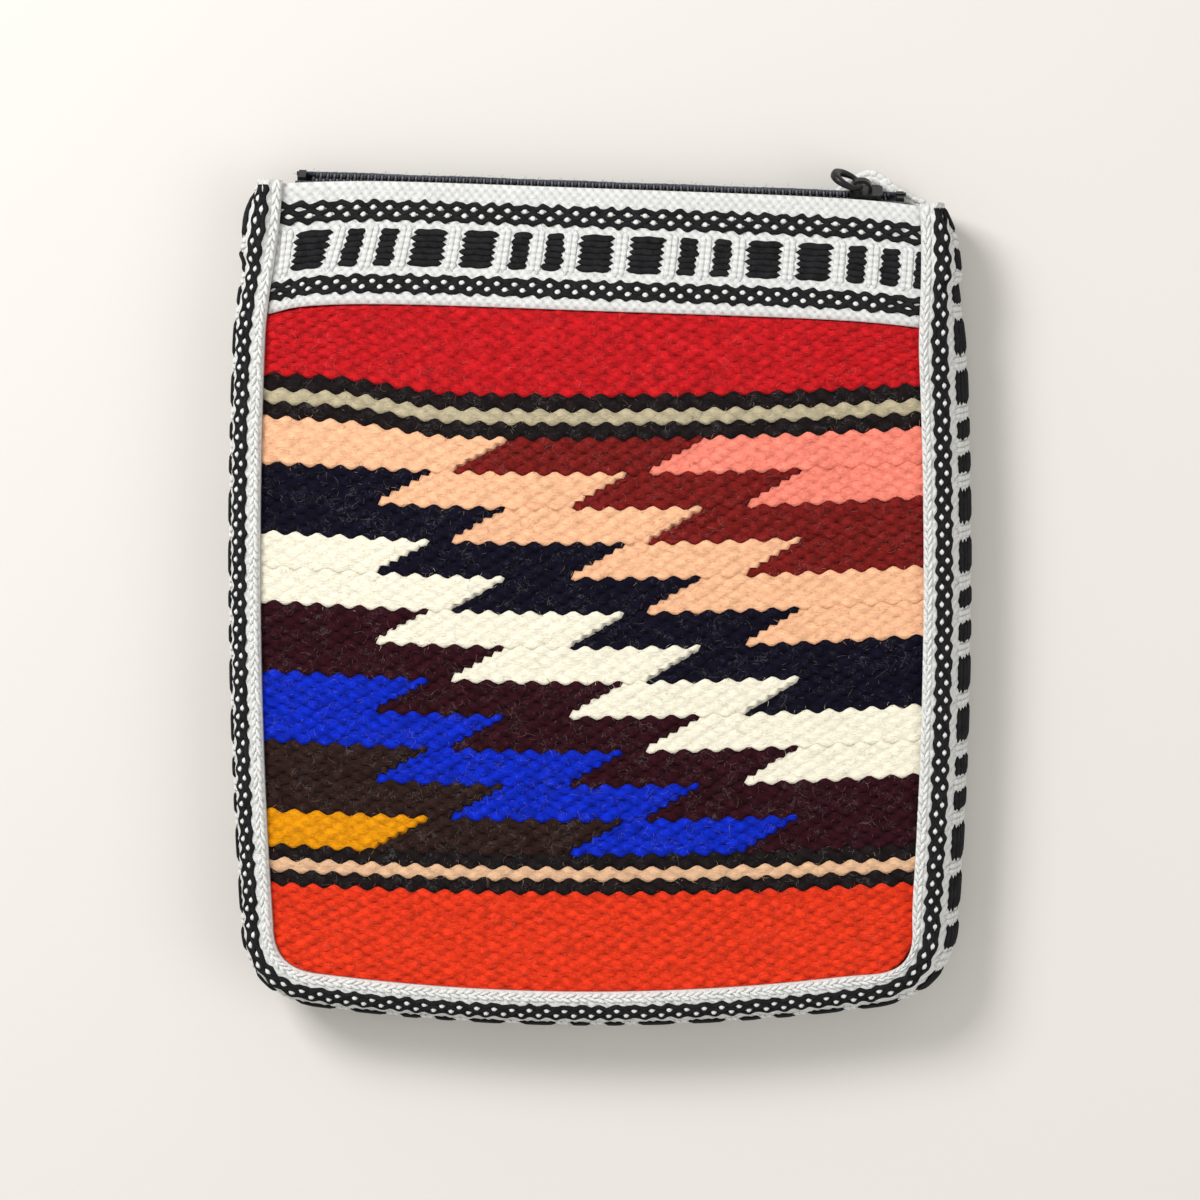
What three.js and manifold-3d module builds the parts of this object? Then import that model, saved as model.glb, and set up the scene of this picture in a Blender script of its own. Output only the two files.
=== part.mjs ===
// A handwoven wool shoulder bag that lies on its back, its zip closed and its strap folded flat under it.
// Millimetres, +X to the right, +Y towards the zip, +Z up. The origin is under the middle of the bag.

import * as THREE from 'three';
import { mergeVertices } from 'three/addons/utils/BufferGeometryUtils.js';
import Module from 'manifold-3d';

const wasm = await Module();
wasm.setup();

// Outline of the bag, along the folds where its front turns into its sides
const BODY_HEIGHT = 212;         // from the bottom corners to the middle of the zip
const MOUTH_WIDTH = 178;
const WAIST_WIDTH = 184.8;
const FOOT_WIDTH = 178;
const FOOT_CORNER = 14;          // size of the rounded bottom corners
const BOTTOM_SAG = 7;            // dip of the bottom edge's middle below its corners
const MOUTH_TILT = 2.05;         // degrees that the zip falls towards the right
const MOUTH_DROOP = 4;           // drop of the ends of the mouth below the line of the zip

// Depth of the bag
const DEPTH = 20.8;              // between the laps on the front and on the back
const BULGE = 6.5;               // how far the side band stands out from the folds
const MOUTH_BULGE = 4.5;
const TOP_FALL = 38;             // length over which the bag thins towards its mouth
const CROWN = 4;                 // rise of the front's middle above its edges
const LEAN_X = 5;                // offset of the back from the front, to the right
const LEAN_Y = 3;                // and towards the zip

// Cloth
const BAND_WIDTH = 33;
const BAND_THICK = 1.8;
const WOOL_THICK = 3;
const BACK_THICK = 2;
const SELVEDGE_LAP = 4;          // how far the side band laps over the front and the back
const SEAM_INSET = 1;            // distance of the front's and back's edges from the fold
const HEM_LENGTH = 17;           // doubled ends of the side band
const GAP = 0.3;                 // clearance between pieces that touch

// Tapestry: a red field, three stripes, lightning rows, three stripes, an orange field
const RED_HEIGHT = 18.3;         // at the side edges
const UPPER_DARK = 4.1;          // dark stripes above the lightning rows, with a light one between
const UPPER_LIGHT = 3.5;
const LOWER_DARK = 3.7;          // the same below them
const LOWER_LIGHT = 3.1;
const LIGHTNING_ROWS = 12;
const LIGHTNING_PITCH = 49.9;    // from one colour to the next along a row
const LIGHTNING_STEP = 19.6;     // offset of the odd rows to the right
const LIGHTNING_SLANT = 15.5;    // lean of the ends of each colour over one row
const ORANGE_HEIGHT = 25.2;      // at the side edges
const ROW_SAG = 3;               // dip of the middle of each row
const RIDGE_HEIGHT = 0.5;        // weft ridges
const RIDGE_PITCH = 9.36;

// Pattern of the black and white band
const BLOCK_WIDE = 9.7;
const BLOCK_NARROW = 5.3;
const BLOCK_SPACE = 4;
const BLOCK_HEIGHT = 9.6;
const BLOCK_FROM_EDGE = 17.6;    // middle of the blocks from the upper edge of the top band
const CHAIN_FROM_BLOCKS = 9.8;   // middle of each chain stripe from the middle of the blocks
const CHAIN_WIDTH = 5.4;
const CHAIN_THICK = 0.6;
const YARN_THICK = 0.8;          // black yarn that lies behind the band's face
const YARN_MARGIN = 0.8;

// Strap
const STRAP_WIDTH = 35;
const STRAP_THICK = 1.6;
const STRAP_SPACING = 4;         // between the strap's runs
const STRAP_LOW_HEIGHT = 24;     // middle of its turns above the bottom corners
const STRAP_HIGH_DROP = 30;      // middle of its upper turn below the zip
const STRAP_END = 14;            // its sewn ends below the zip

// Zip
const ZIP_LEAN = 30;             // degrees that the zip faces upwards from level
const ZIP_INSET = 6;             // from each end of the mouth to the end of the tapes
const ZIP_LENGTH = MOUTH_WIDTH - 2 * ZIP_INSET;
const CHAIN_END_SPACE = 3;       // bare tape at each end of the teeth
const TOOTH_PITCH = 1.85;
const TOOTH_LENGTH = 1.1;
const COIL_THICK = 1.8;
const COIL_SPLIT = 1.2;          // space between the two rows of teeth
const COIL_REACH = 2.3;          // outer edge of a row from the middle of the zip
const TOOTH_DEPTH = 0.8;
const TAPE_THICK = 0.8;
const TAPE_OFFSET = 3.6;         // where the tapes turn, from the middle of the zip
const TAPE_LAP = 9;              // length of tape sewn to each band
const STOP_LENGTH = 2;
const STOP_THICK = 2.6;
const SLIDER_LENGTH = 9;
const SLIDER_WIDTH = 7;
const SLIDER_PLATE = 1.2;
const SLIDER_WEB = 0.6;
const SLIDER_WEB_LENGTH = 2.5;
const SLIDER_WALL = 0.85;
const SLIDER_CORNER = 1.5;
const SLIDER_FROM_END = 11;      // middle of the closed slider from the right end of the tapes
const SLIDER_AT = ZIP_LENGTH / 2 - SLIDER_FROM_END;
const BRIDGE_LENGTH = 6;
const BRIDGE_HEIGHT = 3.2;
const BRIDGE_WIDTH = 2.2;
const BRIDGE_BAR = 0.9;
const BRIDGE_FROM_MIDDLE = -1.4;
const PULL_LENGTH = 9;
const PULL_WIDTH = 8.5;
const PULL_BAR = 1.2;
const PULL_THICK = 1;
const PULL_SWING = 22;           // degrees that the pull ring stands off the zip

// Levels, from the surface that the bag lies on
const strapLower = STRAP_THICK / 2;
const strapUpper = strapLower + STRAP_THICK + GAP;
const backUnder = strapUpper + STRAP_THICK / 2 + GAP;
const lapOffset = GAP + BAND_THICK / 2;
const middleZ = backUnder - lapOffset + DEPTH / 2;
const frontTop = backUnder - 2 * lapOffset + DEPTH;

// Edges of the two top bands, seen along the zip: clear of the slider and of the tapes
const degrees = THREE.MathUtils.degToRad;
const leanSin = Math.sin(degrees(ZIP_LEAN));
const leanCos = Math.cos(degrees(ZIP_LEAN));
const plateInner = COIL_THICK / 2 + GAP;
const plateOuter = plateInner + SLIDER_PLATE;
const edgeSpread = SLIDER_WIDTH / 2 + GAP + leanCos * BAND_THICK / 2;
const edgeLift = TAPE_THICK / 2 + GAP + BAND_THICK / 2;
const edgeY = leanCos * edgeLift - leanSin * edgeSpread;
const edgeZ = leanCos * edgeSpread + leanSin * edgeLift;
const backEdgeZ = leanCos * SLIDER_WIDTH / 2 + leanSin * plateOuter + GAP + BAND_THICK / 2;

// Finishes
const finish = (color, roughness, metalness = 0) => ({ color, roughness, metalness });
const WHITE_BAND = finish(0xe9e8e4, 0.9);
const BLACK_YARN = finish(0x1d1b1d, 0.9);
const BACK_CLOTH = finish(0x2b3140, 0.95);
const TAPE_CLOTH = finish(0x39414f, 0.95);
const COIL_NYLON = finish(0x17161a, 0.45);
const ZIP_METAL = finish(0x1c1c1f, 0.35, 0.8);
const wool = (color) => finish(color, 0.95);
const LIGHTNING_COLOURS = [
  ['coral', 0xfa7864],
  ['brick', 0x7d211e],
  ['peach', 0xf0b88e],
  ['navy', 0x19152a],
  ['cream', 0xf3ecd8],
  ['plum', 0x38151d],
  ['cobalt', 0x112fc2],
  ['brown', 0x35261f],
  ['amber', 0xe69616],
];

const bag = new THREE.Group();

// Turns a geometry or a cut solid into a closed geometry whose faces point out.
function closed(shape) {
  const geometry = new THREE.BufferGeometry();
  if (shape.getMesh) {
    const { vertProperties, triVerts } = shape.getMesh();
    geometry.setAttribute('position', new THREE.BufferAttribute(vertProperties, 3));
    geometry.setIndex(new THREE.BufferAttribute(triVerts, 1));
    return geometry;
  }
  geometry.setAttribute('position', shape.getAttribute('position').clone());
  geometry.setIndex(shape.index);
  const merged = mergeVertices(geometry);
  const [a, b, c] = [new THREE.Vector3(), new THREE.Vector3(), new THREE.Vector3()];
  const corners = merged.getAttribute('position');
  const index = merged.index.array;
  let volume = 0;
  for (let i = 0; i < index.length; i += 3) {
    a.fromBufferAttribute(corners, index[i]);
    b.fromBufferAttribute(corners, index[i + 1]);
    c.fromBufferAttribute(corners, index[i + 2]);
    volume += a.dot(b.cross(c));
  }
  if (volume < 0) {
    index.reverse();
  }
  return merged;
}

function solid(shape) {
  const geometry = closed(shape);
  const vertProperties = new Float32Array(geometry.getAttribute('position').array);
  const triVerts = new Uint32Array(geometry.index.array);
  return new wasm.Manifold(new wasm.Mesh({ numProp: 3, vertProperties, triVerts }));
}

function addPiece(name, shape, look, parent = bag) {
  const geometry = closed(shape);
  geometry.computeVertexNormals();
  const mesh = new THREE.Mesh(geometry, new THREE.MeshStandardMaterial(look));
  mesh.name = name;
  parent.add(mesh);
}

// A block whose grid lines run at the given values, each corner moved to place(x, y, z).
function grid(xs, ys, zs, place) {
  const counts = [xs.length - 1, ys.length - 1, zs.length - 1];
  const block = new THREE.BoxGeometry(...counts, ...counts);
  const corners = block.getAttribute('position');
  for (let i = 0; i < corners.count; i += 1) {
    const x = xs[Math.round(corners.getX(i) + counts[0] / 2)];
    const y = ys[Math.round(corners.getY(i) + counts[1] / 2)];
    const z = zs[Math.round(corners.getZ(i) + counts[2] / 2)];
    const moved = place(x, y, z);
    corners.setXYZ(i, moved.x, moved.y, moved.z);
  }
  return block;
}

function steps(from, to, count) {
  return Array.from({ length: count + 1 }, (_, i) => from + (to - from) * i / count);
}

// Surfaces of the bag
const mouthDroop = (x) => MOUTH_DROOP * (2 * x / MOUTH_WIDTH) ** 6;
const mouthLine = (x) => BODY_HEIGHT - Math.tan(degrees(MOUTH_TILT)) * x - mouthDroop(x);
const bottomLine = (x) => -BOTTOM_SAG * (1 - (2 * x / FOOT_WIDTH) ** 2);
const lerp = THREE.MathUtils.lerp;

// Half of the bag's width at a height, a barrel from the mouth to the bottom corners.
function halfWidth(y) {
  const t = (BODY_HEIGHT - y) / (BODY_HEIGHT - FOOT_CORNER);
  const pull = WAIST_WIDTH - (MOUTH_WIDTH + FOOT_WIDTH) / 4;
  return (1 - t) ** 2 * MOUTH_WIDTH / 2 + 2 * t * (1 - t) * pull + t ** 2 * FOOT_WIDTH / 2;
}

// How far the bag has filled out below its mouth, from 0 at the zip to 1.
const fullness = (x, y) => THREE.MathUtils.smoothstep(mouthLine(x) + edgeY - y, 0, TOP_FALL);

function frontFace(x, y) {
  const across = Math.min(1, Math.abs(x) / (halfWidth(y) - SELVEDGE_LAP));
  const along = Math.min(1, Math.abs(2 * y / BODY_HEIGHT - 1));
  const crown = CROWN * (1 - across ** 2) ** 2 * (1 - along ** 2) ** 2;
  return lerp(middleZ + edgeZ + BAND_THICK / 2, frontTop, fullness(x, y)) + crown;
}

const backFace = (x, y) => lerp(middleZ - backEdgeZ - BAND_THICK / 2, backUnder, fullness(x, y));

// The bag has settled with its back a little to the right of its front.
function settle(x, y, z) {
  const lean = fullness(x, y) * (z - middleZ) / DEPTH;
  return new THREE.Vector3(x - LEAN_X * lean, y - LEAN_Y * lean, z);
}

// Tapestry front
const bandLower = (x) => mouthLine(x) + edgeY - BAND_WIDTH;
const rowSag = (x) => ROW_SAG * (1 - (2 * x / WAIST_WIDTH) ** 2);
const upperStripes = [UPPER_DARK, UPPER_LIGHT, UPPER_DARK];
const lowerStripes = [LOWER_DARK, LOWER_LIGHT, LOWER_DARK];
const total = (heights) => heights.reduce((sum, height) => sum + height, 0);
const redBottom = bandLower(0) - RED_HEIGHT;
const lightningTop = redBottom - total(upperStripes);
const lightningBottom = ORANGE_HEIGHT + total(lowerStripes);
const lightningRow = (lightningTop - lightningBottom) / LIGHTNING_ROWS;
const WEFT_SEGMENT = 26;
const RED_SEGMENT = 12;

const ridge = (distance) => RIDGE_HEIGHT * (0.5 - 0.5 * Math.cos(2 * Math.PI * distance / RIDGE_PITCH));
const ridgeLines = (height) => steps(0, 1, 2 * Math.max(1, Math.round(height / RIDGE_PITCH)));

// One area of weft between two rows, from its left edge to its right edge. The edges and the rows are
// functions, the first of the share of the height from the top and the second of the place across.
function weftArea(left, right, top, bottom, height, segment = WEFT_SEGMENT) {
  const columns = steps(0, 1, Math.max(1, Math.round((right(0.5) - left(0.5)) / segment)));
  return grid(columns, ridgeLines(height), [0, 1], (u, v, outer) => {
    const x = lerp(left(v), right(v), u);
    const y = lerp(top(x), bottom(x), v);
    const face = frontFace(x, y);
    return settle(x, y, outer ? face + ridge(v * height) - RIDGE_HEIGHT : face - WOOL_THICK);
  });
}

const leftSeam = (y) => SEAM_INSET - halfWidth(y);
const rightSeam = (y) => halfWidth(y) - SEAM_INSET;
const sagged = (level) => (x) => level - rowSag(x);

// A stripe straight across the front.
function addStripe(name, color, top, bottom) {
  const height = top - bottom - GAP;
  const level = (v) => lerp(top, bottom, v);
  const area = weftArea((v) => leftSeam(level(v)), (v) => rightSeam(level(v)),
    sagged(top - GAP / 2), sagged(bottom + GAP / 2), height);
  addPiece(name, area, wool(color));
}

function addStripes(top, heights, yarns) {
  let level = top;
  yarns.forEach(([name, color], i) => {
    addStripe(name, color, level, level - heights[i]);
    level -= heights[i];
  });
}

function addRedField() {
  const top = (x) => bandLower(x) - GAP;
  const bottom = sagged(redBottom + GAP / 2);
  const level = (v) => lerp(top(0), redBottom, v);
  const area = weftArea((v) => leftSeam(level(v)), (v) => rightSeam(level(v)), top, bottom, RED_HEIGHT,
    RED_SEGMENT);
  addPiece('weft_red', area, wool(0xc41e24));
}

// The orange field follows the rounded bottom corners.
function addOrangeField() {
  const top = ORANGE_HEIGHT;
  const cornerStart = 1 - FOOT_CORNER / top;
  const half = (v) => {
    const round = Math.max(0, (v - cornerStart) / (1 - cornerStart));
    return halfWidth(lerp(top, FOOT_CORNER, Math.min(1, v))) - SEAM_INSET
      - FOOT_CORNER * (1 - Math.sqrt(1 - round ** 2));
  };
  const bottom = (x) => bottomLine(x) + SEAM_INSET;
  const area = weftArea((v) => -half(v), half, sagged(top - GAP / 2), bottom, top);
  addPiece('weft_orange', area, wool(0xdf3a1f));
}

// Lightning rows: each row's colours step to the right of the row above, and odd rows are shifted.
function addLightning() {
  const bounds = (row) => (row % 2 ? [LIGHTNING_STEP - LIGHTNING_PITCH, LIGHTNING_STEP]
    : [-LIGHTNING_PITCH, 0, LIGHTNING_PITCH]);
  const rowTop = (row) => lightningTop - (row - 1) * lightningRow;
  const slanted = (bound, v, side) => bound + LIGHTNING_SLANT * (0.5 - v) + side * GAP / 2;
  const edges = (row, place) => {
    const marks = bounds(row);
    const level = (v) => rowTop(row) - v * lightningRow;
    return {
      left: (v) => (place === 0 ? leftSeam(level(v)) : slanted(marks[place - 1], v, 1)),
      right: (v) => (place === marks.length ? rightSeam(level(v)) : slanted(marks[place], v, -1)),
    };
  };
  const fields = new Map();
  for (let row = 1; row <= LIGHTNING_ROWS; row += 1) {
    const first = Math.floor(row / 2) + 2;
    for (let place = 0; place <= bounds(row).length; place += 1) {
      const { left, right } = edges(row, place);
      const area = solid(weftArea(left, right, sagged(rowTop(row) - GAP / 2),
        sagged(rowTop(row + 1) + GAP / 2), lightningRow - GAP));
      const colour = first - place;
      const above = fields.get(colour);
      if (!above) {
        fields.set(colour, { field: area, left, right });
        continue;
      }
      const joinLeft = Math.max(left(0), above.left(1)) + GAP;
      const joinRight = Math.min(right(0), above.right(1)) - GAP;
      const join = weftArea(() => joinLeft, () => joinRight, sagged(rowTop(row) + GAP),
        sagged(rowTop(row) - GAP), 2 * GAP);
      fields.set(colour, { field: above.field.add(area).add(solid(join)), left, right });
    }
  }
  [...fields.keys()].sort((a, b) => a - b).forEach((colour) => {
    const [name, color] = LIGHTNING_COLOURS[colour % LIGHTNING_COLOURS.length];
    addPiece(`weft_${colour + 1}_${name}`, fields.get(colour).field, wool(color));
  });
}

// Spans of the black blocks along a band: wide, narrow, narrow, wide, and again.
function blockSpans(from, to) {
  const sizes = [BLOCK_WIDE, BLOCK_NARROW, BLOCK_NARROW, BLOCK_WIDE];
  const spans = [];
  let at = from + BLOCK_SPACE / 2;
  for (let i = 0; at + sizes[i % sizes.length] < to - BLOCK_SPACE / 2; i += 1) {
    spans.push([at, at + sizes[i % sizes.length]]);
    at += sizes[i % sizes.length] + BLOCK_SPACE;
  }
  return spans;
}

// Lines across a band, with none inside its row of blocks.
function acrossLines(from, to, blockMiddle, count) {
  const clear = BLOCK_HEIGHT / 2 + YARN_MARGIN;
  return [...steps(from, blockMiddle - clear, count), ...steps(blockMiddle + clear, to, count)];
}

// The four pieces of a patterned band. Its place function takes a distance along the band, one across it
// from its edge and one out of its face. The blocks are windows, with the black yarn behind them.
function addPatternedBand(names, band, place, along, blockMiddle, blocks) {
  const face = BAND_THICK / 2;
  const block = [blockMiddle - BLOCK_HEIGHT / 2, blockMiddle + BLOCK_HEIGHT / 2];
  let cloth = solid(band);
  for (const span of blocks) {
    cloth = cloth.subtract(solid(grid(span, block, [-BAND_THICK, BAND_THICK], place)));
  }
  addPiece(names.cloth, cloth, WHITE_BAND);
  const yarnEdges = [block[0] - YARN_MARGIN, block[1] + YARN_MARGIN];
  const yarnFaces = [-face - GAP - YARN_THICK, -face - GAP];
  addPiece(names.yarn, grid(along, yarnEdges, yarnFaces, place), BLACK_YARN);
  const chainFaces = [face + GAP, face + GAP + CHAIN_THICK];
  names.chains.forEach((name, i) => {
    const middle = blockMiddle + (i ? 1 : -1) * CHAIN_FROM_BLOCKS;
    const edges = [middle - CHAIN_WIDTH / 2, middle, middle + CHAIN_WIDTH / 2];
    addPiece(name, grid(along, edges, chainFaces, place), BLACK_YARN);
  });
}

// Top band of the front. Across runs down from the zip.
const BAND_SEGMENTS = 20;
function addFrontBand() {
  const place = (x, down, out) => {
    const y = mouthLine(x) + edgeY - down;
    return settle(x, y, frontFace(x, y) - BAND_THICK / 2 + out);
  };
  const reach = halfWidth(BODY_HEIGHT) - SEAM_INSET;
  const band = grid(steps(-reach, reach, BAND_SEGMENTS), acrossLines(0, BAND_WIDTH, BLOCK_FROM_EDGE, 2),
    [-BAND_THICK / 2, BAND_THICK / 2], place);
  const shown = halfWidth(BODY_HEIGHT) - SELVEDGE_LAP - 2 * GAP;
  const names = {
    cloth: 'front_top_band',
    yarn: 'front_band_block_yarn',
    chains: ['front_band_chain_upper', 'front_band_chain_lower'],
  };
  addPatternedBand(names, band, place, steps(-shown, shown, BAND_SEGMENTS), BLOCK_FROM_EDGE,
    blockSpans(-shown, shown));
}

// Back, made of a top band and a panel
function addBack() {
  const place = (x, y, depth) => settle(x, y, backFace(x, y) + depth);
  const reach = halfWidth(BODY_HEIGHT) - SEAM_INSET;
  const bandEdge = (x) => mouthLine(x) - edgeY;
  const band = grid(steps(-reach, reach, BAND_SEGMENTS), steps(0, BAND_WIDTH, 6), [0, BAND_THICK],
    (x, down, depth) => place(x, bandEdge(x) - down, depth));
  addPiece('back_top_band', band, WHITE_BAND);
  const panel = grid(steps(-1, 1, 6), steps(0, 1, 12), [0, BACK_THICK], (u, v, depth) => {
    const rise = lerp(0, bandEdge(0) - BAND_WIDTH - GAP, v);
    const corner = Math.max(0, 1 - rise / FOOT_CORNER);
    const half = halfWidth(Math.max(rise, FOOT_CORNER)) - SEAM_INSET
      - FOOT_CORNER * (1 - Math.sqrt(1 - corner ** 2));
    const x = u * half;
    const y = lerp(bottomLine(x) + SEAM_INSET, bandEdge(x) - BAND_WIDTH - GAP, v);
    return place(x, y, depth);
  });
  addPiece('back_panel', panel, BACK_CLOTH);
}

// Side band, swept down the left side, round the bottom and up the right side
const mouthHalf = MOUTH_WIDTH / 2;
const footHalf = FOOT_WIDTH / 2;
const bottomHalf = footHalf - FOOT_CORNER;
const sidePull = WAIST_WIDTH - (mouthHalf + footHalf) / 2;

function sidePath() {
  const leftTop = mouthLine(-mouthHalf);
  const rightTop = mouthLine(mouthHalf);
  const bottomEnd = bottomLine(bottomHalf);
  const bottomPull = bottomEnd - 2 * BOTTOM_SAG * (bottomHalf / footHalf) ** 2;
  const path = new THREE.Path();
  path.moveTo(-mouthHalf, leftTop);
  path.quadraticCurveTo(-sidePull, (leftTop + FOOT_CORNER) / 2, -footHalf, FOOT_CORNER);
  path.quadraticCurveTo(-footHalf, 0, -bottomHalf, bottomEnd);
  path.quadraticCurveTo(0, bottomPull, bottomHalf, bottomEnd);
  path.quadraticCurveTo(footHalf, 0, footHalf, FOOT_CORNER);
  path.quadraticCurveTo(sidePull, (rightTop + FOOT_CORNER) / 2, mouthHalf, rightTop);
  return path;
}

function addSideBand() {
  const path = sidePath();
  const length = path.getLength();
  const arc = Math.PI * Math.hypot(DEPTH / 2, BULGE) / Math.SQRT2;
  const width = arc + 2 * SELVEDGE_LAP;

  // Section of the band at a place on the path: out from the fold, and up.
  const section = (point, across) => {
    const front = frontFace(point.x, point.y) + lapOffset;
    const back = backFace(point.x, point.y) - lapOffset;
    const bulge = lerp(MOUTH_BULGE, BULGE, fullness(point.x, point.y));
    const turn = Math.PI * Math.min(1, Math.max(0, (across - SELVEDGE_LAP) / arc));
    const lap = Math.max(0, SELVEDGE_LAP - across, across - SELVEDGE_LAP - arc);
    return new THREE.Vector2(bulge * Math.sin(turn) - lap, lerp(back, front, 0.5 + 0.5 * Math.cos(turn)));
  };
  const place = (along, across, out) => {
    const share = Math.min(1, Math.max(0, along / length));
    const point = path.getPointAt(share);
    const tangent = path.getTangentAt(share);
    const here = section(point, across);
    const slope = section(point, across + GAP).sub(section(point, across - GAP)).normalize();
    here.x -= slope.y * out;
    here.y += slope.x * out;
    return settle(point.x + tangent.y * here.x, point.y - tangent.x * here.x, here.y);
  };
  const [leftEnd, cornerEnd, bottomEnd, secondEnd] = path.getCurveLengths();
  const along = [
    ...steps(0, TOP_FALL, 6),
    ...steps(TOP_FALL, leftEnd, 5).slice(1),
    ...steps(leftEnd, cornerEnd, 4).slice(1),
    ...steps(cornerEnd, bottomEnd, 6).slice(1),
    ...steps(bottomEnd, secondEnd, 4).slice(1),
    ...steps(secondEnd, length - TOP_FALL, 5).slice(1),
    ...steps(length - TOP_FALL, length, 6).slice(1),
  ];
  const across = [0, ...acrossLines(SELVEDGE_LAP, SELVEDGE_LAP + arc, width / 2, 3), width];
  const names = {
    cloth: 'gusset_band',
    yarn: 'gusset_block_yarn',
    chains: ['gusset_chain_front', 'gusset_chain_back'],
  };
  const face = BAND_THICK / 2;
  const hemStart = HEM_LENGTH;
  const hemAcross = acrossLines(SELVEDGE_LAP, SELVEDGE_LAP + arc, width / 2, 3);
  let band = solid(grid(along, across, [-face, face], place));
  for (const hem of [[0, hemStart], [length - hemStart, length]]) {
    band = band.add(solid(grid(hem, hemAcross, [0, face + BAND_THICK], place)));
  }
  const hemEnd = length - hemStart;
  const clearOfHems = along.filter((s) => s > hemStart && s < hemEnd);
  const between = [hemStart + GAP, ...clearOfHems, hemEnd - GAP];
  addPatternedBand(names, band, place, between, width / 2, blockSpans(hemStart, hemEnd));
}

// Strap: one flat band in runs side by side, turned by pairs of slanting folds. Runs lie in the upper
// layer and turns in the lower one.
function addStrap() {
  const pitch = STRAP_WIDTH + STRAP_SPACING;
  const [outer, inner] = [1.5 * pitch, 0.5 * pitch];
  const high = BODY_HEIGHT - STRAP_HIGH_DROP;
  const end = BODY_HEIGHT - STRAP_END;
  const low = STRAP_LOW_HEIGHT;
  const route = [
    [-outer, end], [-outer, low], [-inner, low], [-inner, high],
    [inner, high], [inner, low], [outer, low], [outer, end],
  ].map(([x, y]) => new THREE.Vector2(x, y));
  const radius = (strapUpper - strapLower) / 2;
  const sewnDepth = GAP + STRAP_THICK / 2;
  const upperAt = (point) => backFace(point.x, point.y) - sewnDepth;
  const stations = [];

  // Each station has a middle, half of the strap's width towards its left edge, and its face's direction.
  const sewnEnd = (column, heights) => heights.forEach((y) => {
    const middle = new THREE.Vector3(column, y, upperAt({ x: column, y }));
    const left = new THREE.Vector3(-Math.sign(column) * STRAP_WIDTH / 2, 0, 0);
    stations.push({ middle, left, face: new THREE.Vector3(0, 0, 1) });
  });
  const fold = (corner, from, to, falls) => {
    const side = (direction, up) => new THREE.Vector2(-direction.y * up, direction.x * up);
    const left = side(from, falls ? 1 : -1).add(side(to, falls ? -1 : 1)).multiplyScalar(STRAP_WIDTH / 2);
    const outward = from.clone().sub(to).normalize();
    for (const turn of steps(0, Math.PI, 4)) {
      const rise = (falls ? 1 : -1) * Math.cos(turn);
      const reach = radius * Math.sin(turn);
      stations.push({
        middle: new THREE.Vector3(corner.x + outward.x * reach, corner.y + outward.y * reach,
          (strapLower + strapUpper) / 2 + radius * rise),
        left: new THREE.Vector3(left.x, left.y, 0),
        face: new THREE.Vector3(outward.x * Math.sin(turn), outward.y * Math.sin(turn), rise),
      });
    }
  };
  const sewnHeights = steps(end, BODY_HEIGHT - TOP_FALL - STRAP_END, 5);
  sewnEnd(-outer, sewnHeights);
  for (let i = 1; i < route.length - 1; i += 1) {
    const from = route[i].clone().sub(route[i - 1]).normalize();
    const to = route[i + 1].clone().sub(route[i]).normalize();
    fold(route[i], from, to, i % 2 === 1);
  }
  sewnEnd(outer, sewnHeights.slice().reverse());
  const last = stations.length - 1;
  const strap = grid(steps(0, last, last), [-1, 1], [-1, 1], (i, edge, out) => {
    const { middle, left, face } = stations[Math.round(i)];
    const point = middle.clone().addScaledVector(left, edge).addScaledVector(face, out * STRAP_THICK / 2);
    return settle(point.x, point.y, point.z);
  });
  addPiece('strap', strap, WHITE_BAND);
}

// Zip. In its own group X runs along the teeth, Y out of the bag and Z towards the front.
const chainHalf = ZIP_LENGTH / 2 - CHAIN_END_SPACE;
const hingeX = BRIDGE_FROM_MIDDLE;
const hingeY = plateOuter + (BRIDGE_HEIGHT - BRIDGE_BAR) / 2;

const zipLine = new THREE.Group();
zipLine.position.set(0, BODY_HEIGHT, middleZ);
zipLine.rotation.z = -degrees(MOUTH_TILT);
bag.add(zipLine);
const zip = new THREE.Group();
zip.rotation.x = degrees(ZIP_LEAN);
zipLine.add(zip);

// A flat shape drawn along and across the zip, between two distances out of it.
function slab(shape, from, to) {
  const options = { depth: to - from, bevelEnabled: false, curveSegments: 8 };
  const slice = new THREE.ExtrudeGeometry(shape, options);
  slice.rotateX(Math.PI / 2);
  slice.translate(0, to, 0);
  return slice;
}

function block(x0, x1, y0, y1, z0, z1) {
  const box = new THREE.BoxGeometry(x1 - x0, y1 - y0, z1 - z0);
  box.translate((x0 + x1) / 2, (y0 + y1) / 2, (z0 + z1) / 2);
  return box;
}

// A thin sheet that follows a line drawn across the zip, as long as the zip.
function addTape(name, line) {
  const sides = [1, -1].map((side) => line.map((point, i) => {
    const before = line[Math.max(0, i - 1)];
    const after = line[Math.min(line.length - 1, i + 1)];
    const along = after.clone().sub(before).normalize();
    return new THREE.Vector2(-along.y, along.x).multiplyScalar(side * TAPE_THICK / 2).add(point);
  }));
  const profile = new THREE.Shape([...sides[0], ...sides[1].reverse()]);
  const tape = new THREE.ExtrudeGeometry(profile, { depth: ZIP_LENGTH, bevelEnabled: false });
  tape.translate(0, 0, -ZIP_LENGTH / 2);
  const [x, y, z] = [new THREE.Vector3(1, 0, 0), new THREE.Vector3(0, 1, 0), new THREE.Vector3(0, 0, 1)];
  tape.applyMatrix4(new THREE.Matrix4().makeBasis(y, z, x));
  addPiece(name, tape, TAPE_CLOTH, zipLine);
}

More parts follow.
